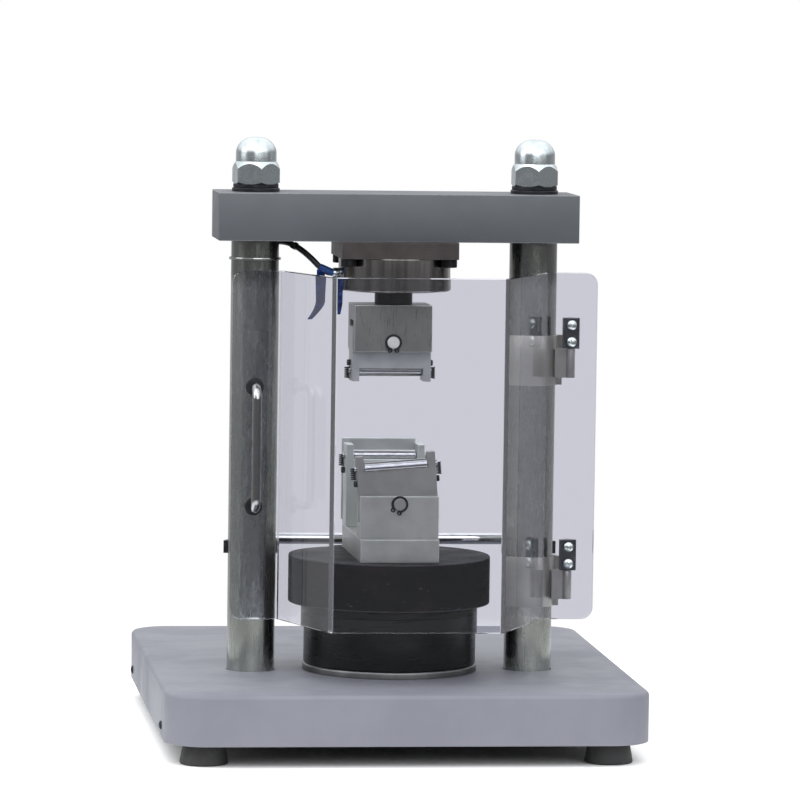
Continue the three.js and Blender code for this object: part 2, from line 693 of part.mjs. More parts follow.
// ---------------------------------------------------------------- rear bar
const REAR_BAR_Y = 95;
const REAR_BAR_Z = 100.5;
const REAR_BAR_RADIUS = 5;
{
  const end = COLUMN_X;
  place("rear_bar", barX(REAR_BAR_RADIUS, -end, end, REAR_BAR_Y, REAR_BAR_Z), CHROME);
  for (const [side, sign] of SIDES) {
    // Each bracket is a saddle on the column's back with an arm out to the bar's end.
    const x = sign * COLUMN_X;
    const clamp = bar(COLUMN_RADIUS + 4, REAR_BAR_Z - 3, REAR_BAR_Z + 7.5, x);
    const low = [x - 8, COLUMN_RADIUS + 2.5, REAR_BAR_Z - 8.5];
    const high = [x + 8, REAR_BAR_Y + 9, REAR_BAR_Z + 7.5];
    const cableRoom = bar(CABLE_RADIUS + 0.5, 80, 120, x, CABLE_BACK_Y, 16);
    const socket = [x - sign * 9, x + sign * 0.5];
    const bracket = cut(
      join(clamp, block(low, high)),
      bar(COLUMN_RADIUS + 0.3, 80, 120, x),
      block([x - 30, -30, 80], [x + 30, 4, 120]),
      cableRoom,
      barX(REAR_BAR_RADIUS + 0.3, Math.min(...socket), Math.max(...socket), REAR_BAR_Y, REAR_BAR_Z),
    );
    place(`bar_bracket_${side}`, bracket, BLACK_OXIDE);
  }
}

// ---------------------------------------------------------------- guard
const HINGES = [
  ["upper", 241.5],
  ["lower", 54.5],
];
const BAND_HEIGHT = 42;
const KNUCKLE_BOTTOM = 7;
const KNUCKLE_HEIGHT = 24;
const KNUCKLE_RADIUS = 4;
const LEAF_HEIGHT = 26;
{
  // The sheet's centre line, seen from above.
  const middle = GUARD_BACK_Y - GUARD_SHEET / 2;
  const line = [
    [GUARD_LEFT, middle],
    [GUARD_LEFT_BEND, middle],
    [GUARD_FRONT_LEFT, GUARD_FRONT_Y],
    [GUARD_FRONT_RIGHT, GUARD_FRONT_Y],
    [GUARD_RIGHT_BEND, middle],
    [GUARD_RIGHT, middle],
  ].map(([x, y]) => new THREE.Vector2(x, y));

  // Each bend is drawn as an arc between its two straights, on either face of the sheet.
  function face(offset) {
    const bendRadius = 8;
    const points = [];
    for (let index = 0; index < line.length; index += 1) {
      const here = line[index];
      const before = line[index - 1] ?? here.clone().multiplyScalar(2).sub(line[index + 1]);
      const after = line[index + 1] ?? here.clone().multiplyScalar(2).sub(line[index - 1]);
      const arriving = here.clone().sub(before).normalize();
      const leaving = after.clone().sub(here).normalize();
      const turn = Math.atan2(arriving.cross(leaving), arriving.dot(leaving));
      if (Math.abs(turn) < 1e-6) {
        const normal = new THREE.Vector2(-arriving.y, arriving.x);
        points.push(here.clone().addScaledVector(normal, offset));
        continue;
      }
      const sign = Math.sign(turn);
      const start = arriving.clone().multiplyScalar(-bendRadius * Math.tan(Math.abs(turn) / 2));
      const side = new THREE.Vector2(-arriving.y, arriving.x).multiplyScalar(sign);
      const centre = here.clone().add(start).addScaledVector(side, bendRadius);
      for (let step = 0; step <= 3; step += 1) {
        const swing = (turn * step) / 3;
        const spoke = side.clone().multiplyScalar(-1).rotateAround(new THREE.Vector2(), swing);
        points.push(centre.clone().addScaledVector(spoke, bendRadius - sign * offset));
      }
    }
    return points;
  }
  const outline = [...face(-GUARD_SHEET / 2), ...face(GUARD_SHEET / 2).reverse()];
  const sheet = raised(new THREE.Shape(outline), GUARD_BOTTOM, GUARD_TOP);

  // The outer corners are rounded in elevation.
  const corners = new THREE.Shape();
  const left = GUARD_LEFT + GUARD_CORNER;
  const right = GUARD_RIGHT - GUARD_CORNER;
  const low = GUARD_BOTTOM + GUARD_CORNER;
  const high = GUARD_TOP - GUARD_CORNER;
  corners.absarc(right, high, GUARD_CORNER, 0, Math.PI / 2);
  corners.absarc(left, high, GUARD_CORNER, Math.PI / 2, Math.PI);
  corners.absarc(left, low, GUARD_CORNER, Math.PI, Math.PI * 1.5);
  corners.absarc(right, low, GUARD_CORNER, Math.PI * 1.5, Math.PI * 2);
  corners.closePath();
  const elevation = new THREE.ExtrudeGeometry(corners, {
    depth: 200,
    bevelEnabled: false,
    curveSegments: 5,
  });
  elevation.rotateX(Math.PI / 2);
  place("guard_sheet", solid(sheet).intersect(solid(elevation)), CLEAR);

  // A bow handle on the left flange, with a washer under each end.
  const faceY = GUARD_BACK_Y - GUARD_SHEET;
  const standOff = 25;
  const bow = [
    [HANDLE_X, faceY - 1.2, HANDLE_HIGH],
    [HANDLE_X, faceY - 10, HANDLE_HIGH],
    [HANDLE_X, faceY - standOff + 9, HANDLE_HIGH],
    [HANDLE_X, faceY - standOff + 2.5, HANDLE_HIGH - 2.5],
    [HANDLE_X, faceY - standOff, HANDLE_HIGH - 9],
    [HANDLE_X, faceY - standOff, HANDLE_HIGH - 30],
    [HANDLE_X, faceY - standOff, HANDLE_LOW + 30],
    [HANDLE_X, faceY - standOff, HANDLE_LOW + 9],
    [HANDLE_X, faceY - standOff + 2.5, HANDLE_LOW + 2.5],
    [HANDLE_X, faceY - standOff + 9, HANDLE_LOW],
    [HANDLE_X, faceY - 10, HANDLE_LOW],
    [HANDLE_X, faceY - 1.2, HANDLE_LOW],
  ];
  const washers = [HANDLE_LOW, HANDLE_HIGH].map((z) => barY(7.5, faceY - 2, faceY, HANDLE_X, z));
  place("guard_handle", join(rod(bow, 4, 26, 8), ...washers), CHROME);
}

for (const [name, bottom] of HINGES) {
  // A band round the right column, with a lug and a flat arm out to the fixed knuckle.
  const x = COLUMN_X;
  const bandRadius = COLUMN_RADIUS + 1.5;
  const knuckleLow = bottom + KNUCKLE_BOTTOM;
  const knuckleHigh = knuckleLow + KNUCKLE_HEIGHT;
  const band = cut(
    join(
      bar(bandRadius, bottom, bottom + BAND_HEIGHT, x),
      block([x + 18, -5, bottom], [x + 25, 5, bottom + BAND_HEIGHT]),
      block([x + 18, HINGE_Y - 1.5, knuckleLow], [HINGE_X, HINGE_Y + 1.5, knuckleHigh]),
      block([x + 17, HINGE_Y - 1.5, knuckleLow], [x + 25, 0, knuckleHigh]),
      bar(KNUCKLE_RADIUS, knuckleLow, knuckleHigh, HINGE_X, HINGE_Y, 16),
    ),
    bar(COLUMN_RADIUS + 0.3, bottom - 1, bottom + BAND_HEIGHT + 1, x),
    bar(HINGE_PIN_RADIUS + RUNNING_FIT, knuckleLow + 4, knuckleHigh + 1, HINGE_X, HINGE_Y, 16),
  );
  place(`hinge_band_${name}`, band, PLATE_STEEL);

  const pinTop = knuckleHigh + 14;
  const pin = bar(HINGE_PIN_RADIUS, knuckleLow + 4, pinTop, HINGE_X, HINGE_Y, 16);
  place(`hinge_pin_${name}`, pin, ZINC);

  // The moving leaf drops over the pin and is screwed to the sheet from the front.
  const leafLow = knuckleHigh + 0.5;
  const leaf = cut(
    block([HINGE_X - 7, GUARD_BACK_Y, leafLow], [HINGE_X + 7, HINGE_Y, leafLow + LEAF_HEIGHT]),
    bar(HINGE_PIN_RADIUS + 1, leafLow - 1, pinTop + 1, HINGE_X, HINGE_Y, 16),
  );
  const knuckle = cut(
    join(leaf, bar(KNUCKLE_RADIUS, leafLow, leafLow + LEAF_HEIGHT, HINGE_X, HINGE_Y, 16)),
    bar(HINGE_PIN_RADIUS + RUNNING_FIT, leafLow - 1, pinTop + 1, HINGE_X, HINGE_Y, 16),
  );
  place(`hinge_leaf_${name}`, knuckle, PLATE_STEEL);
}

export default part;
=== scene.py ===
"""A two-column hydraulic bench press with a load cell, self-aligning roller tools and a clear
hinged guard, built up in the order a fitter would put it together. Blender 4.5, metres."""
import bmesh
import bpy
import math
from mathutils import Matrix, Vector


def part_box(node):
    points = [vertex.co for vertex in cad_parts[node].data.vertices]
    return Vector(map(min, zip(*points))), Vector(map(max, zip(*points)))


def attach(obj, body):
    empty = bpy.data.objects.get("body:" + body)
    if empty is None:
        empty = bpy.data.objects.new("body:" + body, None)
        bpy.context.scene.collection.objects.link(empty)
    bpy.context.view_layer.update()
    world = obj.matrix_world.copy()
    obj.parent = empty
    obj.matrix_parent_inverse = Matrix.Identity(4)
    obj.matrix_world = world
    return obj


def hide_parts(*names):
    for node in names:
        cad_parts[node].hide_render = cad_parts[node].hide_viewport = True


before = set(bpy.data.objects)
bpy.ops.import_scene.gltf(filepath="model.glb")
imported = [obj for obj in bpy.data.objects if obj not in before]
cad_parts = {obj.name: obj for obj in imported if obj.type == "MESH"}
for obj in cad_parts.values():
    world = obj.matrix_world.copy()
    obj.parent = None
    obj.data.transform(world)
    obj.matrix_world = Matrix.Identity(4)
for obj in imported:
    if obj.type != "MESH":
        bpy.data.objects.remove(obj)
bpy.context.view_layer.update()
MM = 0.001
FRAME_BODY = "press_frame"


# ---------------------------------------------------------------- camera, floor and light
# The press stands in soft light on a pale floor, which fades away round it so that the guard
# doesn't mirror it. The camera stands a long way off, a little to the left and above the deck.
column_low, column_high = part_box("column_left")
deck_low, deck_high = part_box("deck_cover")
axis_y = (column_low.y + column_high.y) / 2
deck_top = deck_high.z

camera_data = bpy.data.cameras.new("camera")
camera_data.lens = 240.6
camera_data.sensor_width = 36
camera_data.clip_end = 100
camera = bpy.data.objects.new("camera", camera_data)
bpy.context.scene.collection.objects.link(camera)
bpy.context.scene.camera = camera
camera.location = Vector((-0.5177, axis_y - 4.452, deck_top + 0.5822))
facing = Matrix.Rotation(math.radians(-6.712), 3, "Z")
level = Matrix.Rotation(math.radians(90 - 4.525), 3, "X")
lean = Matrix.Rotation(math.radians(0.793), 3, "Z")
camera.rotation_euler = (facing @ level @ lean).to_euler()
bpy.context.scene.view_settings.view_transform = "Standard"

floor_shape = bmesh.new()
bmesh.ops.create_grid(floor_shape, x_segments=1, y_segments=1, size=3)
floor_mesh = bpy.data.meshes.new("studio_floor")
floor_shape.to_mesh(floor_mesh)
floor_shape.free()
studio_floor = bpy.data.objects.new("studio_floor", floor_mesh)
bpy.context.scene.collection.objects.link(studio_floor)
floor_paint = bpy.data.materials.new("pale_floor")
floor_paint.use_nodes = True
nodes, links = floor_paint.node_tree.nodes, floor_paint.node_tree.links
floor_shader = nodes["Principled BSDF"]
floor_shader.inputs["Base Color"].default_value = (0.95, 0.95, 0.95, 1)
floor_shader.inputs["Roughness"].default_value = 0.9
floor_shader.inputs["Specular IOR Level"].default_value = 0.1
where = nodes.new("ShaderNodeTexCoord")
distance = nodes.new("ShaderNodeVectorMath")
distance.operation = "LENGTH"
links.new(where.outputs["Object"], distance.inputs[0])
fade = nodes.new("ShaderNodeMapRange")
fade.interpolation_type = "SMOOTHSTEP"
fade.inputs["From Min"].default_value = 0.36
fade.inputs["From Max"].default_value = 0.85
fade.inputs["To Min"].default_value = 1
fade.inputs["To Max"].default_value = 0
links.new(distance.outputs["Value"], fade.inputs["Value"])
links.new(fade.outputs["Result"], floor_shader.inputs["Alpha"])
floor_mesh.materials.append(floor_paint)

# The room's walls are mid grey, darker towards the camera's side, under a bright ceiling, so that
# polished metal has something to mirror. Seen straight, the backdrop itself is plain white, and
# a little dimmer through the guard.
room = bpy.data.worlds.new("studio")
bpy.context.scene.world = room
room.use_nodes = True
nodes, links = room.node_tree.nodes, room.node_tree.links
direction = nodes.new("ShaderNodeTexCoord")
split = nodes.new("ShaderNodeSeparateXYZ")
links.new(direction.outputs["Generated"], split.inputs[0])
shades = []
for axis, stops in (
    ("Y", ((0.0, 0.2), (0.5, 0.3), (0.8, 0.42), (1.0, 0.6))),
    ("Z", ((0.0, 0.0), (0.55, 0.0), (0.66, 0.5), (0.85, 1.0))),
):
    to_unit = nodes.new("ShaderNodeMapRange")
    to_unit.inputs["From Min"].default_value = -1
    links.new(split.outputs[axis], to_unit.inputs["Value"])
    ramp = nodes.new("ShaderNodeValToRGB")
    while len(ramp.color_ramp.elements) < len(stops):
        ramp.color_ramp.elements.new(0.5)
    for stop, (position, shade) in zip(ramp.color_ramp.elements, stops):
        stop.position = position
        stop.color = (shade, shade, shade * 1.02, 1)
    links.new(to_unit.outputs["Result"], ramp.inputs["Fac"])
    shades.append(ramp.outputs["Color"])
walls = nodes.new("ShaderNodeMix")
walls.data_type = "RGBA"
links.new(shades[1], walls.inputs["Factor"])
links.new(shades[0], walls.inputs["A"])
walls.inputs["B"].default_value = (1.8, 1.83, 1.86, 1)
seen = nodes.new("ShaderNodeLightPath")
mirrored = nodes.new("ShaderNodeMath")
mirrored.operation = "SUBTRACT"
links.new(seen.outputs["Ray Depth"], mirrored.inputs[0])
links.new(seen.outputs["Transmission Depth"], mirrored.inputs[1])
straight = nodes.new("ShaderNodeMath")
straight.operation = "LESS_THAN"
straight.inputs[1].default_value = 1.5
links.new(mirrored.outputs[0], straight.inputs[0])
viewed = nodes.new("ShaderNodeMath")
viewed.operation = "MAXIMUM"
links.new(seen.outputs["Is Camera Ray"], viewed.inputs[0])
links.new(seen.outputs["Is Transmission Ray"], viewed.inputs[1])
direct = nodes.new("ShaderNodeMath")
direct.operation = "MULTIPLY"
links.new(straight.outputs[0], direct.inputs[0])
links.new(viewed.outputs[0], direct.inputs[1])
choose = nodes.new("ShaderNodeMix")
choose.data_type = "RGBA"
links.new(direct.outputs[0], choose.inputs["Factor"])
links.new(walls.outputs["Result"], choose.inputs["A"])
backdrop = nodes.new("ShaderNodeMix")
backdrop.data_type = "RGBA"
backdrop.inputs["A"].default_value = (0.78, 0.782, 0.82, 1)
backdrop.inputs["B"].default_value = (1, 1, 1, 1)
links.new(seen.outputs["Is Camera Ray"], backdrop.inputs["Factor"])
links.new(backdrop.outputs["Result"], choose.inputs["B"])
links.new(choose.outputs["Result"], nodes["Background"].inputs["Color"])
nodes["Background"].inputs["Strength"].default_value = 1.0

for lamp_name, place, width, power in (
    ("key_softbox", (-1.2, -1.1, 2.3), 2.0, 24),
    ("side_softbox", (-2.2, -0.4, 1.2), 1.4, 12),
    ("fill_softbox", (1.8, -1.8, 1.3), 1.4, 5),
    ("front_softbox", (0.3, -2.6, 1.7), 2.2, 34),
):
    lamp_data = bpy.data.lights.new(lamp_name, "AREA")
    lamp_data.size = width
    lamp_data.energy = power
    lamp = bpy.data.objects.new(lamp_name, lamp_data)
    bpy.context.scene.collection.objects.link(lamp)
    lamp.location = place
    lamp.rotation_euler = (Vector((0, 0, 0.25)) - Vector(place)).to_track_quat("-Z", "Y").to_euler()


# ---------------------------------------------------------------- feet
# Four moulded rubber feet, pressed on to studs in the base plate. Each is a short tapered disc
# with a rounded lower edge.
def node_group(name, inputs, output, kind):
    """An empty group of shader nodes with its sockets made."""
    group = bpy.data.node_groups.new(name, "ShaderNodeTree")
    for socket, default in inputs:
        made = group.interface.new_socket(name=socket, in_out="INPUT",
                                          socket_type="NodeSocketFloat")
        made.default_value = default
    group.interface.new_socket(name=output, in_out="OUTPUT", socket_type=kind)
    return group, group.nodes.new("NodeGroupInput"), group.nodes.new("NodeGroupOutput")


def patches_group():
    """Soft cloudy patches, from 0 to 1: Size is the patches' size per metre."""
    inputs = [("Size", 40), ("Along Z", 1), ("Low", 0.4), ("High", 0.65)]
    group, given, result = node_group("patches", inputs, "Mask", "NodeSocketFloat")
    add, link = group.nodes.new, group.links.new
    place = add("ShaderNodeTexCoord")
    squeeze = add("ShaderNodeCombineXYZ")
    squeeze.inputs["X"].default_value = 1
    squeeze.inputs["Y"].default_value = 1
    link(given.outputs["Along Z"], squeeze.inputs["Z"])
    scaled = add("ShaderNodeVectorMath")
    scaled.operation = "MULTIPLY"
    link(place.outputs["Object"], scaled.inputs[0])
    link(squeeze.outputs[0], scaled.inputs[1])
    noise = add("ShaderNodeTexNoise")
    noise.inputs["Detail"].default_value = 5
    noise.inputs["Roughness"].default_value = 0.6
    link(scaled.outputs[0], noise.inputs["Vector"])
    link(given.outputs["Size"], noise.inputs["Scale"])
    spread = add("ShaderNodeMapRange")
    spread.interpolation_type = "SMOOTHSTEP"
    link(noise.outputs["Fac"], spread.inputs["Value"])
    link(given.outputs["Low"], spread.inputs["From Min"])
    link(given.outputs["High"], spread.inputs["From Max"])
    link(spread.outputs[0], result.inputs["Mask"])
    return group


PATCHES = patches_group()


class Finish:
    """A material under construction: its Principled shader and short ways to build on it."""

    def __init__(self, name, metallic, roughness):
        self.material = bpy.data.materials.new(name)
        self.material.use_nodes = True
        self.tree = self.material.node_tree
        self.shader = self.tree.nodes["Principled BSDF"]
        self.shader.inputs["Metallic"].default_value = metallic
        self.shader.inputs["Roughness"].default_value = roughness

    def add(self, kind):
        return self.tree.nodes.new(kind)

    def group(self, group, **values):
        """The group's mask, with its own values given: Along_Z stands for its input Along Z."""
        made = self.add("ShaderNodeGroup")
        made.node_tree = group
        for socket, value in values.items():
            made.inputs[socket.replace("_", " ")].default_value = value
        return made.outputs[0]

    def link(self, start, end):
        self.tree.links.new(start, end)

    def mix(self, mask, first, second):
        """A colour between two: each is a colour or another node's output."""
        made = self.add("ShaderNodeMix")
        made.data_type = "RGBA"
        self.link(mask, made.inputs["Factor"])
        for socket, value in (("A", first), ("B", second)):
            if isinstance(value, bpy.types.NodeSocket):
                self.link(value, made.inputs[socket])
            else:
                made.inputs[socket].default_value = (*value, 1)
        return made.outputs["Result"]

    def spread(self, mask, low, high):
        """The mask as a value from low to high."""
        made = self.add("ShaderNodeMapRange")
        made.inputs["To Min"].default_value = low
        made.inputs["To Max"].default_value = high
        self.link(mask, made.inputs["Value"])
        return made.outputs["Result"]

    def colour(self, value):
        self.link(value, self.shader.inputs["Base Color"])

    def rough(self, value):
        self.link(value, self.shader.inputs["Roughness"])

    def bumps(self, height, depth):
        bump = self.add("ShaderNodeBump")
        bump.inputs["Distance"].default_value = depth
        bump.inputs["Strength"].default_value = 1
        self.link(height, bump.inputs["Height"])
        self.link(bump.outputs["Normal"], self.shader.inputs["Normal"])


def moulded_rubber():
    finish = Finish("moulded_rubber", 0, 0.8)
    dust = finish.group(PATCHES, Size=60, Low=0.45, High=0.75)
    grain = finish.group(PATCHES, Size=1800, Low=0.3, High=0.7)
    finish.colour(finish.mix(dust, (0.012, 0.012, 0.013), (0.045, 0.044, 0.042)))
    finish.rough(finish.spread(dust, 0.65, 0.9))
    finish.bumps(grain, 0.05 * MM)
    return finish.material


RUBBER = moulded_rubber()


def turned_shape(profile, steps=72):
    """A body of revolution about Z from (radius, height) pairs, in metres."""
    shape = bmesh.new()
    points = [shape.verts.new((radius, 0, height)) for radius, height in profile]
    for start, end in zip(points, points[1:]):
        shape.edges.new((start, end))
    bmesh.ops.spin(shape, geom=shape.verts[:] + shape.edges[:], cent=(0, 0, 0),
                   axis=(0, 0, 1), dvec=(0, 0, 0), angle=2 * math.pi, steps=steps,
                   use_merge=True, use_duplicate=False)
    bmesh.ops.remove_doubles(shape, verts=shape.verts, dist=1e-6)
    bmesh.ops.recalc_face_normals(shape, faces=shape.faces)
    return shape


def shift(shape, vector):
    bmesh.ops.translate(shape, verts=shape.verts, vec=vector)


def is_curved(face, layer, limit):
    """Whether a face is a broken edge or part of a curved wall, so that it's shaded smooth."""
    if layer is None or face.loops[0][layer][0] > 0:
        return True
    for edge in face.edges:
        beyond = [other for other in edge.link_faces if other is not face]
        if beyond and beyond[0].loops[0][layer][0] == 0 and \
                math.radians(0.5) < edge.calc_face_angle(0) < limit:
            return True
    return False


def piece_of(shape, name, material, body, *replaced, crease=30):
    """Makes a shape into a finished piece on a body, with edges past the crease left sharp."""
    limit = math.radians(crease)
    layer = shape.loops.layers.float_color.get("edge")
    for face in shape.faces:
        face.smooth = is_curved(face, layer, limit)
    for edge in shape.edges:
        edge.smooth = edge.is_manifold and edge.calc_face_angle(0) < limit
    mesh = bpy.data.meshes.new(name)
    shape.to_mesh(mesh)
    shape.free()
    mesh.materials.append(material)
    piece = bpy.data.objects.new(name, mesh)
    bpy.context.scene.collection.objects.link(piece)
    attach(piece, body)
    if replaced:
        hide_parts(*replaced)
    return piece


def rounded(corner_r, corner_z, radius, start, sweep, steps=4):
    """Points of an arc for a turned profile, with its centre at (corner_r, corner_z)."""
    points = []
    for step in range(steps + 1):
        angle = math.radians(start + sweep * step / steps)
        points.append((corner_r + radius * math.cos(angle), corner_z + radius * math.sin(angle)))
    return points


for foot in ("foot_front_left", "foot_front_right", "foot_rear_left", "foot_rear_right"):
    low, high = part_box(foot)
    radius = (high.x - low.x) / 2
    foot_round = 2 * MM
    profile = [(0, 0)]
    profile += rounded(radius - foot_round, foot_round, foot_round, -90, 85)
    profile += [(radius - 3 * MM, high.z), (0, high.z)]
    shape = turned_shape(profile, 48)
    shift(shape, ((low.x + high.x) / 2, (low.y + high.y) / 2, 0))
    piece = piece_of(shape, foot + "_rubber", RUBBER, FRAME_BODY, foot)


# ---------------------------------------------------------------- base plate and bed beam
# The base is a thick black-oxided plate, and the bed is a heavy milled steel block bolted to it.
# Their edges are broken with a file.
def edge_wear_group():
    """Worn edges: it reads the bevelled edges' own attribute and breaks it up with noise."""
    group, given, result = node_group("edge_wear", [("Size", 300), ("Amount", 0.6)], "Mask",
                                      "NodeSocketFloat")
    add, link = group.nodes.new, group.links.new
    edge = add("ShaderNodeAttribute")
    edge.attribute_name = "edge"
    place = add("ShaderNodeTexCoord")
    noise = add("ShaderNodeTexNoise")
    noise.inputs["Detail"].default_value = 4
    link(place.outputs["Object"], noise.inputs["Vector"])
    link(given.outputs["Size"], noise.inputs["Scale"])
    product = add("ShaderNodeMath")
    product.operation = "MULTIPLY"
    link(edge.outputs["Fac"], product.inputs[0])
    link(noise.outputs["Fac"], product.inputs[1])
    scaled = add("ShaderNodeMath")
    scaled.operation = "MULTIPLY"
    scaled.use_clamp = True
    link(product.outputs[0], scaled.inputs[0])
    link(given.outputs["Amount"], scaled.inputs[1])
    link(scaled.outputs[0], result.inputs["Mask"])
    return group


EDGE_WEAR = edge_wear_group()


def mark_edges(shape, worn):
    """Marks the worn faces white and the rest black, for the edge wear to read."""
    layer = shape.loops.layers.float_color.get("edge") or \
        shape.loops.layers.float_color.new("edge")
    for face in shape.faces:
        for corner in face.loops:
            corner[layer] = (1, 1, 1, 1) if face in worn else (0, 0, 0, 1)


def bevel_edges(shape, width, segments=2, past=30):
    """Rounds every edge sharper than the angle, and marks the new faces as edge for wear."""
    sharp = [edge for edge in shape.edges
             if edge.is_manifold and edge.calc_face_angle(0) > math.radians(past)]
    made = bmesh.ops.bevel(shape, geom=sharp, offset=width, offset_type="OFFSET",
                           segments=segments, profile=0.5, affect="EDGES",
                           clamp_overlap=True, material=-1)
    mark_edges(shape, set(made["faces"]))
    return shape


def refined(node, width, segments=2, past=30):
    """A merged copy of a CAD node's mesh with its edges broken."""
    shape = bmesh.new()
    shape.from_mesh(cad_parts[node].data)
    bmesh.ops.remove_doubles(shape, verts=shape.verts, dist=2e-6)
    bmesh.ops.dissolve_limit(shape, angle_limit=math.radians(0.5), verts=shape.verts,
                             edges=shape.edges)
    return bevel_edges(shape, width, segments, past)


def tool_marks_group():
    """Fine parallel tool marks across the surface, as a height, stretched along one axis."""
    inputs = [("Size", 200), ("X", 1), ("Y", 1), ("Z", 1)]
    group, given, result = node_group("tool_marks", inputs, "Mask", "NodeSocketFloat")
    add, link = group.nodes.new, group.links.new
    place = add("ShaderNodeTexCoord")
    stretch = add("ShaderNodeCombineXYZ")
    for axis in "XYZ":
        link(given.outputs[axis], stretch.inputs[axis])
    scaled = add("ShaderNodeVectorMath")
    scaled.operation = "MULTIPLY"
    link(place.outputs["Object"], scaled.inputs[0])
    link(stretch.outputs[0], scaled.inputs[1])
    noise = add("ShaderNodeTexNoise")
    noise.inputs["Detail"].default_value = 3
    noise.inputs["Roughness"].default_value = 0.7
    link(scaled.outputs[0], noise.inputs["Vector"])
    link(given.outputs["Size"], noise.inputs["Scale"])
    spread = add("ShaderNodeMapRange")
    spread.inputs["From Min"].default_value = 0.3
    spread.inputs["From Max"].default_value = 0.7
    link(noise.outputs["Fac"], spread.inputs["Value"])
    link(spread.outputs[0], result.inputs["Mask"])
    return group


TOOL_MARKS = tool_marks_group()


def black_oxide():
    finish = Finish("black_oxide", 0.3, 0.45)
    finish.shader.inputs["Specular IOR Level"].default_value = 0.3
    wear = finish.group(EDGE_WEAR, Size=500, Amount=0.7)
    cloud = finish.group(PATCHES, Size=90, Low=0.35, High=0.75)
    base = finish.mix(cloud, (0.008, 0.0085, 0.011), (0.022, 0.023, 0.028))
    finish.colour(finish.mix(wear, base, (0.16, 0.16, 0.17)))
    finish.rough(finish.spread(cloud, 0.35, 0.6))
    finish.bumps(finish.group(PATCHES, Size=2500, Low=0.3, High=0.7), 0.02 * MM)
    return finish.material


def dull_steel(name, light, dark, roughness=0.5):
    finish = Finish(name, 0.85, roughness)
    wear = finish.group(EDGE_WEAR, Size=350, Amount=0.8)
    cloud = finish.group(PATCHES, Size=45, Low=0.35, High=0.7)
    marks = finish.group(TOOL_MARKS, Size=900, X=0.05)
    base = finish.mix(cloud, light, dark)
    finish.colour(finish.mix(wear, base, (0.4, 0.39, 0.39)))
    finish.rough(finish.spread(marks, roughness - 0.12, roughness + 0.12))
    finish.bumps(marks, 0.015 * MM)
    return finish.material


BLACK_OXIDE = black_oxide()
DULL_STEEL = dull_steel("dull_steel", (0.068, 0.060, 0.060), (0.050, 0.044, 0.044))
for node, material, slot in (
    ("base_plate", BLACK_OXIDE, "black_oxide"),
    ("bed_beam", DULL_STEEL, "plate_steel"),
):
    piece = piece_of(refined(node, 0.6 * MM), node + "_milled", material, FRAME_BODY, node)


# ---------------------------------------------------------------- deck cover
# The cover is folded and welded from 3 mm sheet with a soft top edge, and painted a satin grey
# with a faint lavender cast and a fine orange-peel skin. Two screws on each side hold it down.
def satin_paint(name, fresh, aged, worn, roughness, peel=900):
    finish = Finish(name, 0, roughness)
    finish.shader.inputs["Specular IOR Level"].default_value = 0.25
    wear = finish.group(EDGE_WEAR, Size=260, Amount=0.55)
    cloud = finish.group(PATCHES, Size=14, Low=0.35, High=0.7)
    base = finish.mix(cloud, fresh, aged)
    finish.colour(finish.mix(wear, base, worn))
    finish.rough(finish.spread(cloud, roughness - 0.06, roughness + 0.08))
    finish.bumps(finish.group(PATCHES, Size=peel, Low=0.2, High=0.8), 0.03 * MM)
    return finish.material


DECK_PAINT = satin_paint("lavender_grey_paint", (0.165, 0.168, 0.195), (0.150, 0.153, 0.18),
                         (0.3, 0.3, 0.34), 0.55)
corner = 35 * MM
sheet = 3 * MM
top_bend = 4 * MM


def rounded_slab(low, high, corner, segments=12):
    """A flat slab with rounded upright corners."""
    shape = bmesh.new()
    bmesh.ops.create_cube(shape, size=1)
    bmesh.ops.scale(shape, verts=shape.verts, vec=high - low)
    shift(shape, (low + high) / 2)
    upright = [edge for edge in shape.edges
               if abs(edge.verts[0].co.z - edge.verts[1].co.z) > (high.z - low.z) / 2]
    bmesh.ops.bevel(shape, geom=upright, offset=corner, offset_type="OFFSET",
                    segments=segments, profile=0.5, affect="EDGES", material=-1)
    return shape


def carve(body, cutter, operation="DIFFERENCE"):
    """The body with the cutter taken from it, joined to it or kept only where they meet."""
    pair = []
    for role, shape in (("body", body), ("cutter", cutter)):
        mesh = bpy.data.meshes.new(role)
        shape.to_mesh(mesh)
        shape.free()
        made = bpy.data.objects.new(role, mesh)
        bpy.context.scene.collection.objects.link(made)
        pair.append(made)
    solid, tool = pair
    cut = solid.modifiers.new("cut", "BOOLEAN")
    cut.operation = operation
    cut.solver = "EXACT"
    cut.object = tool
    evaluated = solid.evaluated_get(bpy.context.evaluated_depsgraph_get())
    result = bmesh.new()
    result.from_mesh(evaluated.to_mesh())
    evaluated.to_mesh_clear()
    for made in pair:
        mesh = made.data
        bpy.data.objects.remove(made)
        bpy.data.meshes.remove(mesh)
    return result


def upright_bar(radius, low, high, x=0.0, y=0.0, steps=48):
    shape = turned_shape([(0, low), (radius, low), (radius, high), (0, high)], steps)
    shift(shape, (x, y, 0))
    return shape


def rotate(shape, matrix):
    bmesh.ops.rotate(shape, verts=shape.verts, cent=(0, 0, 0), matrix=matrix)


def pan_head(radius, turn, shank=6 * MM):
    """A pan-head screw with a cross slot, seated at Z = 0 with its head above."""
    profile = [(0, -shank), (radius * 0.48, -shank), (radius * 0.48, 0), (radius, 0)]
    for step in range(9):
        angle = math.pi / 2 * step / 8
        profile.append((radius * math.cos(angle) if step < 8 else 0,
                        0.12 * radius + 0.52 * radius * math.sin(angle)))
    shape = turned_shape(profile, 40)
    for across in (0, 90):
        slot_box = rounded_slab(Vector((-0.62 * radius, -0.1 * radius, 0.33 * radius)),
                                Vector((0.62 * radius, 0.1 * radius, radius)), 0.1 * MM, 1)
        rotate(slot_box, Matrix.Rotation(math.radians(across) + turn, 3, "Z"))
        shape = carve(shape, slot_box)
    return shape


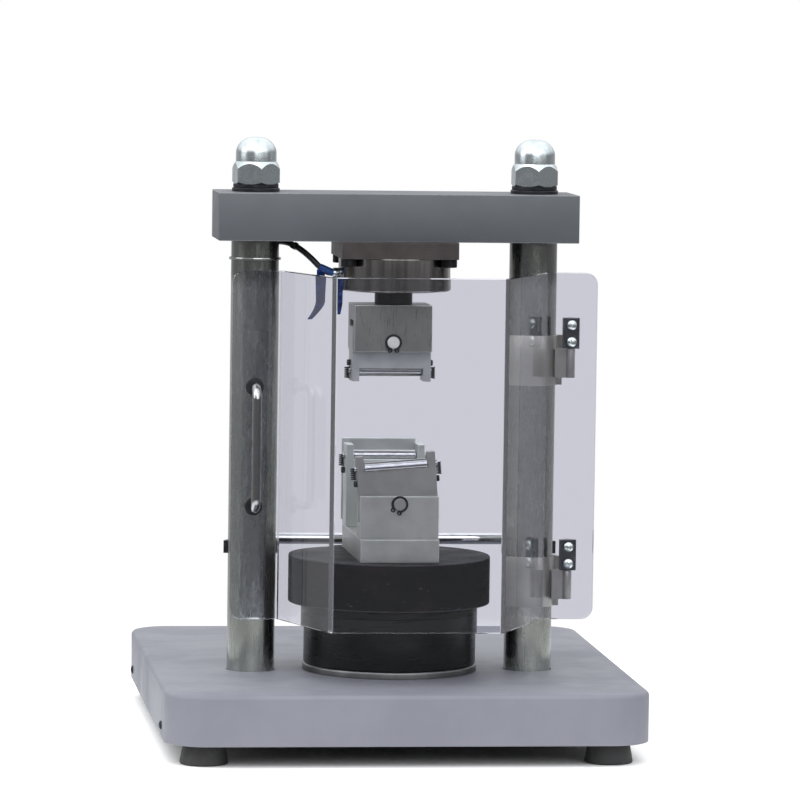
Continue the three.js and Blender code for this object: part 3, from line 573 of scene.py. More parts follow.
cover = rounded_slab(deck_low, deck_high, corner)
rim = [edge for edge in cover.edges
       if min(v.co.z for v in edge.verts) > deck_high.z - 1e-5]
bmesh.ops.bevel(cover, geom=rim, offset=top_bend, offset_type="OFFSET", segments=5,
                profile=0.5, affect="EDGES", material=-1)
inner_low = deck_low + Vector((sheet, sheet, -10 * MM))
inner_high = deck_high - Vector((sheet, sheet, sheet))
cover = carve(cover, rounded_slab(inner_low, inner_high, corner - sheet))
spigot_low, spigot_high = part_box("cylinder_body")
spigot_hole = 59 * MM
column_hole = 20.5 * MM
pipe_hole = 6 * MM
column_x = (column_low.x + column_high.x) / 2
grommet_low, grommet_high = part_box("cable_grommet")
grommet_at = (grommet_low + grommet_high) / 2
elbow_low, elbow_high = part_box("oil_elbow")
pipe_y = elbow_high.y - 8 * MM
for radius, x, y in (
    (spigot_hole, 0, axis_y),
    (column_hole, column_x, axis_y),
    (column_hole, -column_x, axis_y),
    (pipe_hole, grommet_at.x, grommet_at.y),
    (pipe_hole, 0, pipe_y),
):
    cover = carve(cover, upright_bar(radius, deck_top - 2 * sheet, deck_top + sheet, x, y))
deck = piece_of(bevel_edges(cover, 0.3 * MM, 1, 60), "deck_cover_painted", DECK_PAINT,
                FRAME_BODY, "deck_cover")
for side_name, side in (("left", -1), ("right", 1)):
    for row_name, row in (("front", -1), ("rear", 1)):
        shape = pan_head(3.6 * MM, 0.4 * row, 4 * MM)
        rotate(shape, Matrix.Rotation(math.radians(90 * side), 3, "Y"))
        seat = Vector((side * deck_high.x, row * (deck_high.y - 60 * MM),
                       deck_low.z + 10 * MM))
        shift(shape, seat)
        screw = piece_of(shape, f"cover_screw_{row_name}_{side_name}", BLACK_OXIDE, FRAME_BODY)


# ---------------------------------------------------------------- ram cylinder
# The cylinder is turned from black-enamelled steel, with a shallow groove near its top, and its
# spigot drops through a bright turned ring into the bed. An elbow at the back feeds it with oil.
def black_enamel():
    gloss = 0.3
    finish = Finish("black_enamel", 0, gloss)
    finish.shader.inputs["Specular IOR Level"].default_value = 0.3
    wear = finish.group(EDGE_WEAR, Size=600, Amount=0.9)
    cloud = finish.group(PATCHES, Size=30, Along_Z=2, Low=0.45, High=0.72)
    rings = finish.group(TOOL_MARKS, Size=700, X=0.04, Y=0.04, Z=1)
    base = finish.mix(cloud, (0.0055, 0.0065, 0.0075), (0.010, 0.011, 0.012))
    finish.colour(finish.mix(wear, base, (0.09, 0.09, 0.10)))
    finish.rough(finish.spread(rings, gloss - 0.06, gloss + 0.14))
    finish.bumps(rings, 0.012 * MM)
    return finish.material


BLACK_ENAMEL = black_enamel()
cylinder_top = spigot_high.z
cylinder_r = (spigot_high.x - spigot_low.x) / 2
ring_low, ring_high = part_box("cylinder_ring")
ring_r = (ring_high.x - ring_low.x) / 2
spigot_r = 58 * MM
bore_r = 45.1 * MM
edge = 1.2 * MM
groove_z = cylinder_top - 6 * MM
profile = [(0, spigot_low.z), (spigot_r - edge, spigot_low.z), (spigot_r, spigot_low.z + edge),
           (spigot_r, ring_high.z), (cylinder_r - edge, ring_high.z)]
profile += rounded(cylinder_r - edge, ring_high.z + edge, edge, -70, 70)
profile += [(cylinder_r, groove_z - 0.6 * MM), (cylinder_r - 0.5 * MM, groove_z),
            (cylinder_r, groove_z + 0.6 * MM)]
profile += rounded(cylinder_r - edge, cylinder_top - edge, edge, 0, 90)
profile += [(bore_r + edge, cylinder_top), (bore_r, cylinder_top - edge),
            (bore_r, spigot_low.z + 8 * MM), (0, spigot_low.z + 8 * MM)]
shape = turned_shape(profile, 128)
shift(shape, (0, axis_y, 0))
cylinder = piece_of(shape, "cylinder_enamelled", BLACK_ENAMEL, FRAME_BODY, "cylinder_body")


def turned_steel(name, dark, light, streaks=90, roughness=0.2):
    """Bright turned steel: upright streaks painted into its colour as reflections, over fine lathe
    rings.
    """
    finish = Finish(name, 1, roughness)
    painted_reflection = finish.group(PATCHES, Size=streaks, Along_Z=0.02, Low=0.32, High=0.68)
    rings = finish.group(TOOL_MARKS, Size=2600, X=0.02, Y=0.02, Z=1)
    tint = finish.mix(painted_reflection, dark, light)
    finish.colour(finish.mix(finish.spread(rings, 0, 0.3), tint, dark))
    finish.rough(finish.spread(rings, roughness - 0.05, roughness + 0.06))
    finish.bumps(rings, 0.002 * MM)
    return finish.material


TURNED_STEEL = turned_steel("turned_steel", (0.14, 0.133, 0.126), (0.42, 0.40, 0.38))
RING_STEEL = turned_steel("turned_ring", (0.12, 0.12, 0.124), (0.18, 0.18, 0.184), 30, 0.42)
inner_r = spigot_r + 0.3 * MM
profile = [(inner_r, ring_low.z), (ring_r - 0.4 * MM, ring_low.z), (ring_r, ring_low.z + 0.4 * MM)]
profile += rounded(ring_r - 2 * MM, ring_high.z - 2 * MM, 2 * MM, 0, 90)
profile += [(inner_r, ring_high.z), (inner_r, ring_low.z)]
shape = turned_shape(profile, 128)
shift(shape, (0, axis_y, 0))
ring = piece_of(shape, "cylinder_ring_turned", RING_STEEL, FRAME_BODY, "cylinder_ring")


def zinc_plate():
    finish = Finish("zinc_plate", 1, 0.2)
    cloud = finish.group(PATCHES, Size=160, Low=0.35, High=0.7)
    base = finish.mix(cloud, (0.56, 0.61, 0.63), (0.42, 0.47, 0.49))
    wear = finish.group(EDGE_WEAR, Size=400, Amount=0.5)
    finish.colour(finish.mix(wear, base, (0.8, 0.82, 0.83)))
    finish.rough(finish.spread(cloud, 0.2, 0.32))
    finish.bumps(finish.group(PATCHES, Size=1400, Low=0.2, High=0.8), 0.01 * MM)
    return finish.material


ZINC = zinc_plate()
pipe_r = 6 * MM
nose_z = deck_top + 20 * MM


def lay_along(shape, axis, centre, tilt=0.0):
    """Turns a shape from Z to X or Y, tilts it about Y and puts it in place."""
    turn = Matrix.Rotation(math.radians(90), 3, "Y" if axis == "X" else "X")
    rotate(shape, turn)
    if tilt:
        lean = Matrix.Rotation(tilt, 3, "Y")
        rotate(shape, lean)
    shift(shape, centre)
    return shape


def hexagon_bar(across_flats, low, high):
    """An upright six-sided bar with sharp edges."""
    corner_r = across_flats / math.sqrt(3)
    shape = bmesh.new()
    bmesh.ops.create_cone(shape, cap_ends=True, segments=6, radius1=corner_r, radius2=corner_r,
                          depth=high - low)
    shift(shape, (0, 0, (low + high) / 2))
    return shape


def hex_nut(across_flats, low, high):
    return bevel_edges(hexagon_bar(across_flats, low, high), 0.5 * MM)


elbow_back = elbow_high.y - pipe_y
reach = pipe_y - elbow_low.y
arm = turned_shape([(0, -elbow_back), (elbow_back - 1.5 * MM, -elbow_back),
                    (elbow_back, 1.5 * MM - elbow_back), (elbow_back, 7 * MM),
                    (elbow_back - 2 * MM, 9 * MM), (elbow_back - 2 * MM, reach), (0, reach)], 48)
arm = lay_along(carve(arm, hex_nut(17 * MM, reach - 9 * MM, reach - 1 * MM), "UNION"), "Y",
                Vector((0, pipe_y, nose_z)))
pipe = upright_bar(pipe_r - 0.8 * MM, elbow_low.z, nose_z, 0, pipe_y)
union_nut = hex_nut(15 * MM, deck_top + 0.6 * MM, deck_top + 8 * MM)
shift(union_nut, (0, pipe_y, 0))
elbow_shape = carve(carve(arm, pipe, "UNION"), union_nut, "UNION")
elbow = piece_of(elbow_shape, "oil_elbow_plated", ZINC, FRAME_BODY, "oil_elbow")


# ---------------------------------------------------------------- columns
# Two 40 mm hard-chromed and ground bars. Upright streaks are painted into their colour in place of
# reflections, and their upper ends are darkened with painted shade under the crosshead. Each end
# is turned down to a stud, and a nut under the bed and an acorn nut on top clamp the frame.
crosshead_low, crosshead_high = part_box("crosshead")


def chromed_bar():
    finish = Finish("chromed_bar", 1, 0.24)
    # The broad and fine upright streaks are painted reflections; the mottle darkens the bars in
    # patches.
    broad = finish.group(PATCHES, Size=48, Along_Z=0.05, Low=0.3, High=0.7)
    fine = finish.group(PATCHES, Size=420, Along_Z=0.015, Low=0.35, High=0.65)
    mottle = finish.group(PATCHES, Size=300, Along_Z=0.16, Low=0.4, High=0.7)
    dark = finish.mix(broad, (0.36, 0.378, 0.355), (0.60, 0.62, 0.585))
    reflection_streaks = finish.mix(finish.spread(fine, 0, 0.6), dark, (0.47, 0.485, 0.455))
    aged = finish.mix(finish.spread(mottle, 0, 0.6), reflection_streaks, (0.30, 0.32, 0.295))
    # Painted shade: the bars grow darker towards their tops, under the crosshead.
    place = finish.add("ShaderNodeTexCoord")
    height = finish.add("ShaderNodeSeparateXYZ")
    finish.link(place.outputs["Object"], height.inputs[0])
    crosshead_shade = finish.add("ShaderNodeMapRange")
    crosshead_shade.interpolation_type = "SMOOTHSTEP"
    crosshead_shade.inputs["From Min"].default_value = crosshead_low.z - 42 * MM
    crosshead_shade.inputs["From Max"].default_value = crosshead_low.z - 26 * MM
    finish.link(height.outputs["Z"], crosshead_shade.inputs["Value"])
    painted_top_shade = finish.spread(crosshead_shade.outputs["Result"], 0, 0.75)
    finish.colour(finish.mix(painted_top_shade, aged, (0.12, 0.125, 0.12)))
    finish.rough(finish.spread(mottle, 0.2, 0.33))
    finish.bumps(fine, 0.004 * MM)
    return finish.material


CHROMED_BAR = chromed_bar()
column_r = (column_high.x - column_low.x) / 2
stud_r = 12 * MM
chamfer = 1 * MM
for side in ("left", "right"):
    low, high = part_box("column_" + side)
    seat = deck_top - sheet
    profile = [(0, low.z), (stud_r - chamfer, low.z), (stud_r, low.z + chamfer), (stud_r, seat),
               (column_r - chamfer, seat), (column_r, seat + chamfer),
               (column_r, crosshead_low.z - chamfer), (column_r - chamfer, crosshead_low.z),
               (stud_r, crosshead_low.z), (stud_r, high.z - chamfer),
               (stud_r - chamfer, high.z), (0, high.z)]
    shape = turned_shape(profile, 96)
    shift(shape, ((low.x + high.x) / 2, axis_y, 0))
    bar = piece_of(shape, f"column_{side}_bar", CHROMED_BAR, FRAME_BODY, "column_" + side)
    nut = piece_of(refined(f"column_nut_{side}", 0.6 * MM, 2, 40), f"column_nut_{side}_plated",
                   ZINC, FRAME_BODY, f"column_nut_{side}")


# ---------------------------------------------------------------- piston and platen
# The piston is a ground bar in the cylinder. The platen is a heavy turned disc in black enamel,
# scuffed and smeared from use, with its rims worn.
def ground_steel():
    finish = Finish("ground_steel", 1, 0.22)
    rings = finish.group(TOOL_MARKS, Size=1500, X=0.02, Y=0.02, Z=1)
    finish.colour(finish.mix(rings, (0.42, 0.43, 0.44), (0.52, 0.53, 0.54)))
    finish.rough(finish.spread(rings, 0.18, 0.3))
    return finish.material


def scuffed_enamel():
    finish = Finish("scuffed_enamel", 0, 0.55)
    finish.shader.inputs["Specular IOR Level"].default_value = 0.1
    wear = finish.group(EDGE_WEAR, Size=260, Amount=0.8)
    smear = finish.group(PATCHES, Size=16, Along_Z=1.6, Low=0.5, High=0.7)
    scuff = finish.group(TOOL_MARKS, Size=420, X=0.06, Y=0.06, Z=1)
    nicks = finish.group(PATCHES, Size=210, Along_Z=3, Low=0.64, High=0.7)
    base = finish.mix(smear, (0.0045, 0.005, 0.006), (0.017, 0.011, 0.0095))
    base = finish.mix(finish.spread(scuff, 0, 0.25), base, (0.03, 0.031, 0.034))
    base = finish.mix(finish.spread(nicks, 0, 0.6), base, (0.13, 0.132, 0.14))
    finish.colour(finish.mix(wear, base, (0.14, 0.14, 0.15)))
    finish.rough(finish.spread(scuff, 0.45, 0.75))
    finish.bumps(scuff, 0.02 * MM)
    return finish.material


SCUFFED_ENAMEL = scuffed_enamel()
platen_low, platen_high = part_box("platen")
platen_r = (platen_high.x - platen_low.x) / 2
edge = 1.2 * MM
profile = [(0, platen_low.z), (platen_r - edge, platen_low.z)]
profile += rounded(platen_r - edge, platen_low.z + edge, edge, -90, 90)[1:]
profile += rounded(platen_r - edge, platen_high.z - edge, edge, 0, 90)
profile += [(0, platen_high.z)]
shape = turned_shape(profile, 144)
rims = set()
for face in shape.faces:
    middle = face.calc_center_median()
    beside = platen_low.z + edge < middle.z < platen_high.z - edge
    if math.hypot(middle.x, middle.y) > platen_r - edge and not beside:
        rims.add(face)
mark_edges(shape, rims)
shift(shape, (0, axis_y, 0))
platen = piece_of(shape, "platen_disc", SCUFFED_ENAMEL, "ram", "platen")
low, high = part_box("piston")
shape = upright_bar(high.x, low.z, high.z, 0, axis_y, 96)
piston = piece_of(bevel_edges(shape, 0.8 * MM), "piston_bar", ground_steel(), "ram", "piston")


# ---------------------------------------------------------------- tool blocks
# The bending tools are milled and ground from steel bar, satin with faint upright grind marks,
# and their edges are lightly broken so that they catch the light.
def tool_steel(name, shade, cast, roughness=0.4):
    finish = Finish(name, 0.6, roughness)
    wear = finish.group(EDGE_WEAR, Size=500, Amount=1.1)
    cloud = finish.group(PATCHES, Size=38, Low=0.3, High=0.72)
    marks = finish.group(TOOL_MARKS, Size=1300, Z=0.05)
    light, dark, scored = (tuple(shade * share * part for part in cast)
                           for share in (1.12, 0.9, 0.78))
    base = finish.mix(cloud, light, dark)
    base = finish.mix(finish.spread(marks, 0, 0.09), base, scored)
    finish.colour(finish.mix(wear, base, (0.75, 0.76, 0.77)))
    finish.rough(finish.spread(marks, roughness - 0.06, roughness + 0.12))
    finish.bumps(marks, 0.004 * MM)
    return finish.material


FIXTURE_STEEL = tool_steel("fixture_steel", 0.47, (1.0, 1.01, 0.92))
ROCKER_STEEL = tool_steel("rocker_steel", 0.37, (1.0, 0.99, 0.93))
# The rear saddle and stop plate take a lighter, greener copy of the tool steel. Its extra lightness
# is painted light that lifts them out of the shade they stand in.
REAR_STEEL = tool_steel("rear_tool_steel", 0.62, (0.95, 1.0, 0.95))
for node, material, width, body in (
    ("fixture_base", FIXTURE_STEEL, 0.5 * MM, "ram"),
    ("front_support", FIXTURE_STEEL, 0.5 * MM, "ram"),
    ("rear_saddle", REAR_STEEL, 0.5 * MM, "ram"),
    ("stop_plate", REAR_STEEL, 0.4 * MM, "ram"),
    ("front_rocker", ROCKER_STEEL, 0.6 * MM, "front_rocker"),
):
    piece = piece_of(refined(node, width), node + "_ground", material, body, node)
low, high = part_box("stop_plate")
for row_name, up in (("lower", 16 * MM), ("upper", 46 * MM)):
    for side_name, side in (("left", -1), ("right", 1)):
        shape = turned_shape([(0, 0), (3.2 * MM, 0), (3.5 * MM, 0.3 * MM), (3.5 * MM, 3.6 * MM),
                              (3.1 * MM, 4 * MM), (0, 4 * MM)], 40)
        shape = carve(shape, hex_nut(3 * MM, 1.6 * MM, 6 * MM))
        rotate(shape, Matrix.Rotation(math.radians(-90), 3, "X"))
        seat = Vector(((low.x + high.x) / 2 + side * 20 * MM, high.y, low.z + up))
        shift(shape, seat)
        screw = piece_of(shape, f"stop_plate_screw_{row_name}_{side_name}", BLACK_OXIDE, "ram")


# ---------------------------------------------------------------- lower rollers and pins
# The rollers are hardened and polished 10 mm bars with turned-down ends that run in the ears.
# The front pin is a plain 10 mm dowel, held by a black circlip in a groove.
def polished_chrome(name, shade, roughness=0.08):
    finish = Finish(name, 1, roughness)
    cloud = finish.group(PATCHES, Size=120, Low=0.4, High=0.75)
    light = (shade, shade * 1.01, shade * 1.02)
    dark = (shade * 0.82, shade * 0.83, shade * 0.84)
    finish.colour(finish.mix(cloud, light, dark))
    finish.rough(finish.spread(cloud, roughness - 0.02, roughness + 0.1))
    return finish.material


CHROME = polished_chrome("polished_chrome", 0.66)
ROLLER_STEEL = polished_chrome("hardened_roller", 0.42, 0.16)
roller_r = 5 * MM
stub_r = 3 * MM


def roller_shape(half, shoulder):
    """A roller with turned-down ends, its profile drawn along Z."""
    edge = 0.4 * MM
    profile = [(0, -half), (stub_r - edge, -half), (stub_r, edge - half), (stub_r, -shoulder),
               (roller_r - edge, -shoulder), (roller_r, edge - shoulder),
               (roller_r, shoulder - edge), (roller_r - edge, shoulder), (stub_r, shoulder),
               (stub_r, half - edge), (stub_r - edge, half), (0, half)]
    return turned_shape(profile, 48)


front_tilt = math.radians(-4.5)
tool_half = (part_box("fixture_base")[1].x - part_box("fixture_base")[0].x) / 2
roller_half = tool_half + 2 * MM
shoulder = tool_half - 6.4 * MM
for name, tilt in (("upper", 0), ("front", front_tilt), ("rear", 0)):
    low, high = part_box(name + "_roller")
    shape = lay_along(roller_shape(roller_half, shoulder), "X", (low + high) / 2, tilt)
    piece = piece_of(shape, name + "_roller_bar", ROLLER_STEEL, name + "_roller",
                     name + "_roller")

PIN_STEEL = tool_steel("pin_steel", 0.36, (1.0, 1.0, 0.93))
BRIGHT_PIN = tool_steel("bright_pin", 0.8, (1.0, 1.0, 0.93))
pin_r = 5 * MM


def tube_shape(inner, outer, low, high, steps):
    return turned_shape([(inner, low), (outer, low), (outer, high), (inner, high), (inner, low)],
                        steps)


for name, body, gap_turn, pin_steel in (
    ("front", "ram", -26, PIN_STEEL),
    ("upper", FRAME_BODY, 0, BRIGHT_PIN),
):
    low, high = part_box(name + "_pin")
    pin_x, pin_z = (low.x + high.x) / 2, (low.z + high.z) / 2
    half = (high.y - low.y) / 2
    edge = 0.5 * MM
    neck = pin_r - 0.6 * MM
    profile = [(0, -half), (pin_r - edge, -half), (pin_r, edge - half), (pin_r, half - 2.5 * MM),
               (neck, half - 2.5 * MM), (neck, half - 1 * MM), (pin_r, half - 1 * MM),
               (pin_r, half - edge), (pin_r - edge, half), (0, half)]
    shape = lay_along(turned_shape(profile, 48), "Y", (low + high) / 2)
    piece = piece_of(shape, name + "_pin_dowel", pin_steel, body, name + "_pin")
    low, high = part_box(name + "_circlip")
    clip_y, thick = (low.y + high.y) / 2, 1.1 * MM
    ring_shape = tube_shape(neck, pin_r + 2 * MM, -thick / 2, thick / 2, 72)
    gap = rounded_slab(Vector((-1.3 * MM, -9 * MM, -MM)), Vector((1.3 * MM, 0, MM)), 0.1 * MM, 1)
    ring_shape = carve(ring_shape, gap)
    for sign in (-1, 1):
        lug = upright_bar(2 * MM, -thick / 2, thick / 2, sign * 2.9 * MM, -6.6 * MM, 24)
        ring_shape = carve(ring_shape, lug, "UNION")
        eye = upright_bar(0.7 * MM, -MM, MM, sign * 2.9 * MM, -6.9 * MM, 16)
        ring_shape = carve(ring_shape, eye)
    rotate(ring_shape, Matrix.Rotation(math.radians(gap_turn), 3, "Z"))
    shape = lay_along(ring_shape, "Y", Vector((pin_x, clip_y, pin_z)))
    clip = piece_of(shape, name + "_circlip_spring", BLACK_OXIDE, body, name + "_circlip")


# ---------------------------------------------------------------- roller retainers
# On each side of a rocker or saddle a small black tension spring, hooked between a cheese-head
# screw and the roller's end, keeps the roller in its groove.
def spring_wire(points, radius, name, body):
    """A round wire through points, made a mesh so that its place is in its shape."""
    route = bpy.data.curves.new(name, "CURVE")
    route.dimensions = "3D"
    route.bevel_depth = radius
    route.bevel_resolution = 2
    route.use_fill_caps = True
    spline = route.splines.new("POLY")
    spline.points.add(len(points) - 1)
    for point, place in zip(spline.points, points):
        point.co = (*place, 1)
    wire = bpy.data.objects.new(name + "_route", route)
    bpy.context.scene.collection.objects.link(wire)
    evaluated = wire.evaluated_get(bpy.context.evaluated_depsgraph_get())
    shape = bmesh.new()
    shape.from_mesh(evaluated.to_mesh())
    bmesh.ops.remove_doubles(shape, verts=shape.verts, dist=1e-6)
    bmesh.ops.recalc_face_normals(shape, faces=shape.faces)
    bpy.data.objects.remove(wire)
    bpy.data.curves.remove(route)
    return piece_of(shape, name, BLACK_OXIDE, body, crease=50)


coil_r = 1.9 * MM
wire_r = 0.55 * MM
for name, body, spring_low, spring_high, screw_up, tilt in (
    ("upper", "upper_rocker", -6.5, 3, 6.5, 0),
    ("front", "front_rocker", -9, 1, -12.5, front_tilt),
    ("rear", "ram", -9, 1, -12.5, 0),
):
    low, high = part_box(name + "_roller")
    middle = (low + high) / 2
    lean = Matrix.Rotation(tilt, 3, "Y")
    for side_name, side in (("left", -1), ("right", 1)):
        spring_x = side * (tool_half + 2.7 * MM)
        points = []
        steps = 6 * 12
        for step in range(steps + 1):
            angle = 2 * math.pi * step / 12
            along = (spring_low + (spring_high - spring_low) * step / steps) * MM
            points.append(middle + lean @ Vector((spring_x + coil_r * math.cos(angle),
                                                  coil_r * math.sin(angle), along)))
        spring = spring_wire(points, wire_r, f"{name}_spring_{side_name}", body)
        head = turned_shape([(0, 0), (2.6 * MM, 0), (2.6 * MM, 2.4 * MM), (2.2 * MM, 3 * MM),
                             (0, 3 * MM)], 32)
        slot_cut = rounded_slab(Vector((-3 * MM, -0.4 * MM, 2 * MM)),
                                Vector((3 * MM, 0.4 * MM, 4 * MM)), 0.1 * MM, 1)
        head = carve(head, slot_cut)
        turn = Matrix.Rotation(math.radians(90 * side), 3, "Y")
        rotate(head, lean @ turn)
        place = middle + lean @ Vector((side * (tool_half - 0.1 * MM), 0, screw_up * MM))
        shift(head, place)
        screw = piece_of(head, f"{name}_spring_screw_{side_name}", BLACK_OXIDE, body)


# ---------------------------------------------------------------- crosshead
# One flat-milled steel bar, sprayed with a matt grey paint over sharp edges, with a bore for each
# column's stud.
CROSSHEAD_PAINT = satin_paint("matt_grey_paint", (0.088, 0.096, 0.107), (0.080, 0.088, 0.098),
                              (0.33, 0.34, 0.35), 0.5, 1400)
stud_hole = stud_r + 0.3 * MM
shape = rounded_slab(crosshead_low, crosshead_high, 0.8 * MM, 2)
for sign in (-1, 1):
    bore = upright_bar(stud_hole, crosshead_low.z - MM, crosshead_high.z + MM,
                       sign * column_x, axis_y)
    shape = carve(shape, bore)
crosshead = piece_of(bevel_edges(shape, 0.7 * MM, 2, 50), "crosshead_painted", CROSSHEAD_PAINT,
                     FRAME_BODY, "crosshead")


# ---------------------------------------------------------------- washers and acorn nuts
# A black flat washer and a split spring washer lie under each zinc-plated M24 acorn nut. The nut
# has a chamfered hexagon under a smooth round dome.
NUT_FLATS = 36 * MM
hex_angles = {"left": 8, "right": 2}


def washer_shape(low, high):
    """A ring on a stud with its outer edges broken."""
    outer, soft = (high.x - low.x) / 2, 0.5 * MM
    return turned_shape([(stud_hole, low.z), (outer - soft, low.z), (outer, low.z + soft),
                         (outer, high.z - soft), (outer - soft, high.z), (stud_hole, high.z),
                         (stud_hole, low.z)])


for side in ("left", "right"):
    low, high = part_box("flat_washer_" + side)
    centre_x = (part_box("column_" + side)[0].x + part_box("column_" + side)[1].x) / 2
    shape = washer_shape(low, high)
    shift(shape, (centre_x, axis_y, 0))
    washer = piece_of(shape, f"flat_washer_{side}_black", BLACK_OXIDE, FRAME_BODY,
                      "flat_washer_" + side)

    low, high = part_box("spring_washer_" + side)
    shape = washer_shape(low, high)
    shift(shape, (centre_x, axis_y, 0))
    slit = rounded_slab(Vector((centre_x - MM, axis_y, low.z - MM)),
                        Vector((centre_x + MM, axis_y + 30 * MM, high.z + MM)), 0.1 * MM, 1)
    washer = piece_of(carve(shape, slit), f"spring_washer_{side}_black", BLACK_OXIDE,
                      FRAME_BODY, "spring_washer_" + side)

    low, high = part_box("acorn_nut_" + side)
    hex_top = low.z + 18.5 * MM
    corner_r = NUT_FLATS / math.sqrt(3)
    hexagon = hexagon_bar(NUT_FLATS, low.z, hex_top)
    rotate(hexagon, Matrix.Rotation(math.radians(hex_angles[side]), 3, "Z"))
    envelope = turned_shape([(0, low.z), (18.4 * MM, low.z), (corner_r, low.z + 1.4 * MM),
                             (corner_r, hex_top - 6 * MM), (17 * MM, hex_top),
                             (0, hex_top)], 96)
    hexagon = carve(hexagon, envelope, "INTERSECT")
    dome_r = 17 * MM
    profile = [(0, hex_top - MM), (dome_r, hex_top - MM), (dome_r, high.z - 13 * MM)]
    for narrower, below in ((0.25, 11), (0.8, 9.3), (1.8, 7.3), (3.2, 5.3), (5, 3.5), (7.2, 2.0),
                            (9.8, 0.95), (12.8, 0.3), (17, 0)):
        profile.append((dome_r - narrower * MM, high.z - below * MM))
    nut = carve(hexagon, turned_shape(profile, 96), "UNION")
    nut = carve(nut, upright_bar(stud_hole, low.z - MM, low.z + 28 * MM))
    shift(nut, (centre_x, axis_y, 0))
    nut = piece_of(nut, f"acorn_nut_{side}_plated", ZINC, FRAME_BODY, "acorn_nut_" + side,
                   crease=24)


# ---------------------------------------------------------------- load cell and its mount
# The cell is a turned steel puck on a dull square plate, held by four black cap screws. A light
# gland on its side takes the cable.
shape = refined("cell_mount_plate", 0.5 * MM)
plate = piece_of(shape, "cell_mount_plate_milled", DULL_STEEL, FRAME_BODY, "cell_mount_plate")
head_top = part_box("cell_mount_plate")[0].z
cell_low, cell_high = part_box("load_cell")
cell_r = (cell_high.x - cell_low.x) / 2
collar_low, collar_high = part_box("seat_collar")
spigot = 8 * MM
profile = [(0, cell_low.z), (spigot, cell_low.z), (spigot, collar_high.z),
           (cell_r - 2.4 * MM, collar_high.z)]
profile += rounded(cell_r - 2 * MM, collar_high.z + 2 * MM, 2 * MM, -80, 80)
profile += [(cell_r, cell_high.z - 0.5 * MM), (cell_r - 0.5 * MM, cell_high.z), (0, cell_high.z)]
shape = turned_shape(profile, 144)
shift(shape, (0, axis_y, 0))
cell = piece_of(shape, "load_cell_turned", TURNED_STEEL, FRAME_BODY, "load_cell")
for row in ("front", "rear"):
    for side in ("left", "right"):
        node = f"cell_screw_{row}_{side}"
        low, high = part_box(node)
        middle = (low + high) / 2
        head_r, soft = (high.x - low.x) / 2, 0.6 * MM
        profile = [(0, low.z), (head_r - soft, low.z), (head_r, low.z + soft),
                   (head_r, head_top), (3 * MM, head_top), (3 * MM, high.z), (0, high.z)]
        socket = hexagon_bar(3.5 * MM * math.sqrt(3), low.z - 4 * MM, low.z + 4 * MM)
        shape = carve(turned_shape(profile, 48), socket)
        shift(shape, (middle.x, middle.y, 0))
        screw = piece_of(shape, node + "_black", BLACK_OXIDE, FRAME_BODY, node)
gland = piece_of(refined("cell_cable_gland", 0.4 * MM, 2, 40), "cell_cable_gland_plated", ZINC,
                 FRAME_BODY, "cell_cable_gland")


# ---------------------------------------------------------------- load cell cable
# A 5 mm black cable runs from the gland in an arc to the back of the left column and down it to a
# rubber grommet in the deck. Three clips, a tie and a wire ring round the column hold it.
def cable_jacket():
    finish = Finish("cable_jacket", 0, 0.45)
    dust = finish.group(PATCHES, Size=220, Low=0.4, High=0.75)
    finish.colour(finish.mix(dust, (0.010, 0.012, 0.017), (0.03, 0.033, 0.04)))
    finish.rough(finish.spread(dust, 0.36, 0.6))
    return finish.material


gland_low, gland_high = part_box("cell_cable_gland")
gland_z = (gland_low.z + gland_high.z) / 2
back_y = 24
route = [
    (-52.6, 0, 0), (-57, 0, 0.8), (-63, 0.5, 5), (-70, 2, 12), (-77, 5, 18), (-85, 10, 23),
    (-94, 17, 25), (-104, 24, 23), (-113, 27.5, 14), (-117.5, 26.5, 0),
    (-117.5, back_y, -34), (-117.5, back_y, -134), (-117.5, back_y, -234),
    (-117.5, back_y, -284), (-117.5, back_y + 2, -300), (-117.5, 32, -318), (-117.5, 34, -330),
    (-117.5, 34, -344), (-117.5, 34, -364),
]
cable_points = [Vector((x * MM, axis_y + y * MM, gland_z + z * MM)) for x, y, z in route]


def smooth_route(points):
    """Points along a smooth curve that passes through each given point."""
    steps = 8
    ends = [points[0] * 2 - points[1], *points, points[-1] * 2 - points[-2]]
    made = []
    for before, start, end, after in zip(ends, ends[1:], ends[2:], ends[3:]):
        for step in range(steps):
            t = step / steps
            made.append(0.5 * (2 * start + (end - before) * t
                               + (2 * before - 5 * start + 4 * end - after) * t ** 2
                               + (3 * start - before - 3 * end + after) * t ** 3))
    return [*made, points[-1]]


CABLE_BLACK = cable_jacket()
cable_line = smooth_route(cable_points)
cable = spring_wire(cable_line, 2.5 * MM, "load_cell_cable_jacket", FRAME_BODY)
cable.data.materials[0] = CABLE_BLACK
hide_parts("load_cell_cable")
for node, material, slot in (
    ("cable_ring", ROLLER_STEEL, "zinc"),
    ("cable_grommet", RUBBER, "rubber"),
):
    piece = piece_of(refined(node, 0.25 * MM, 2, 40), node + "_made", material, FRAME_BODY, node)

for index, down in enumerate((46 * MM, 146 * MM, 268 * MM)):
    clip_z = gland_z - down
    clip_at = Vector((cable_points[10].x, axis_y + back_y * MM, clip_z))
    loop = tube_shape(2.6 * MM, 3.5 * MM, -3 * MM, 3 * MM, 36)
    pad_y = column_r - back_y * MM
    pad = rounded_slab(Vector((-6 * MM, pad_y - 0.9 * MM, -4 * MM)),
                       Vector((6 * MM, pad_y + 1.2 * MM, 4 * MM)), 0.5 * MM, 2)
    shape = carve(pad, loop, "UNION")
    shift(shape, clip_at)
    clip = piece_of(shape, f"cable_clip_{index + 1}", CABLE_BLACK, FRAME_BODY)

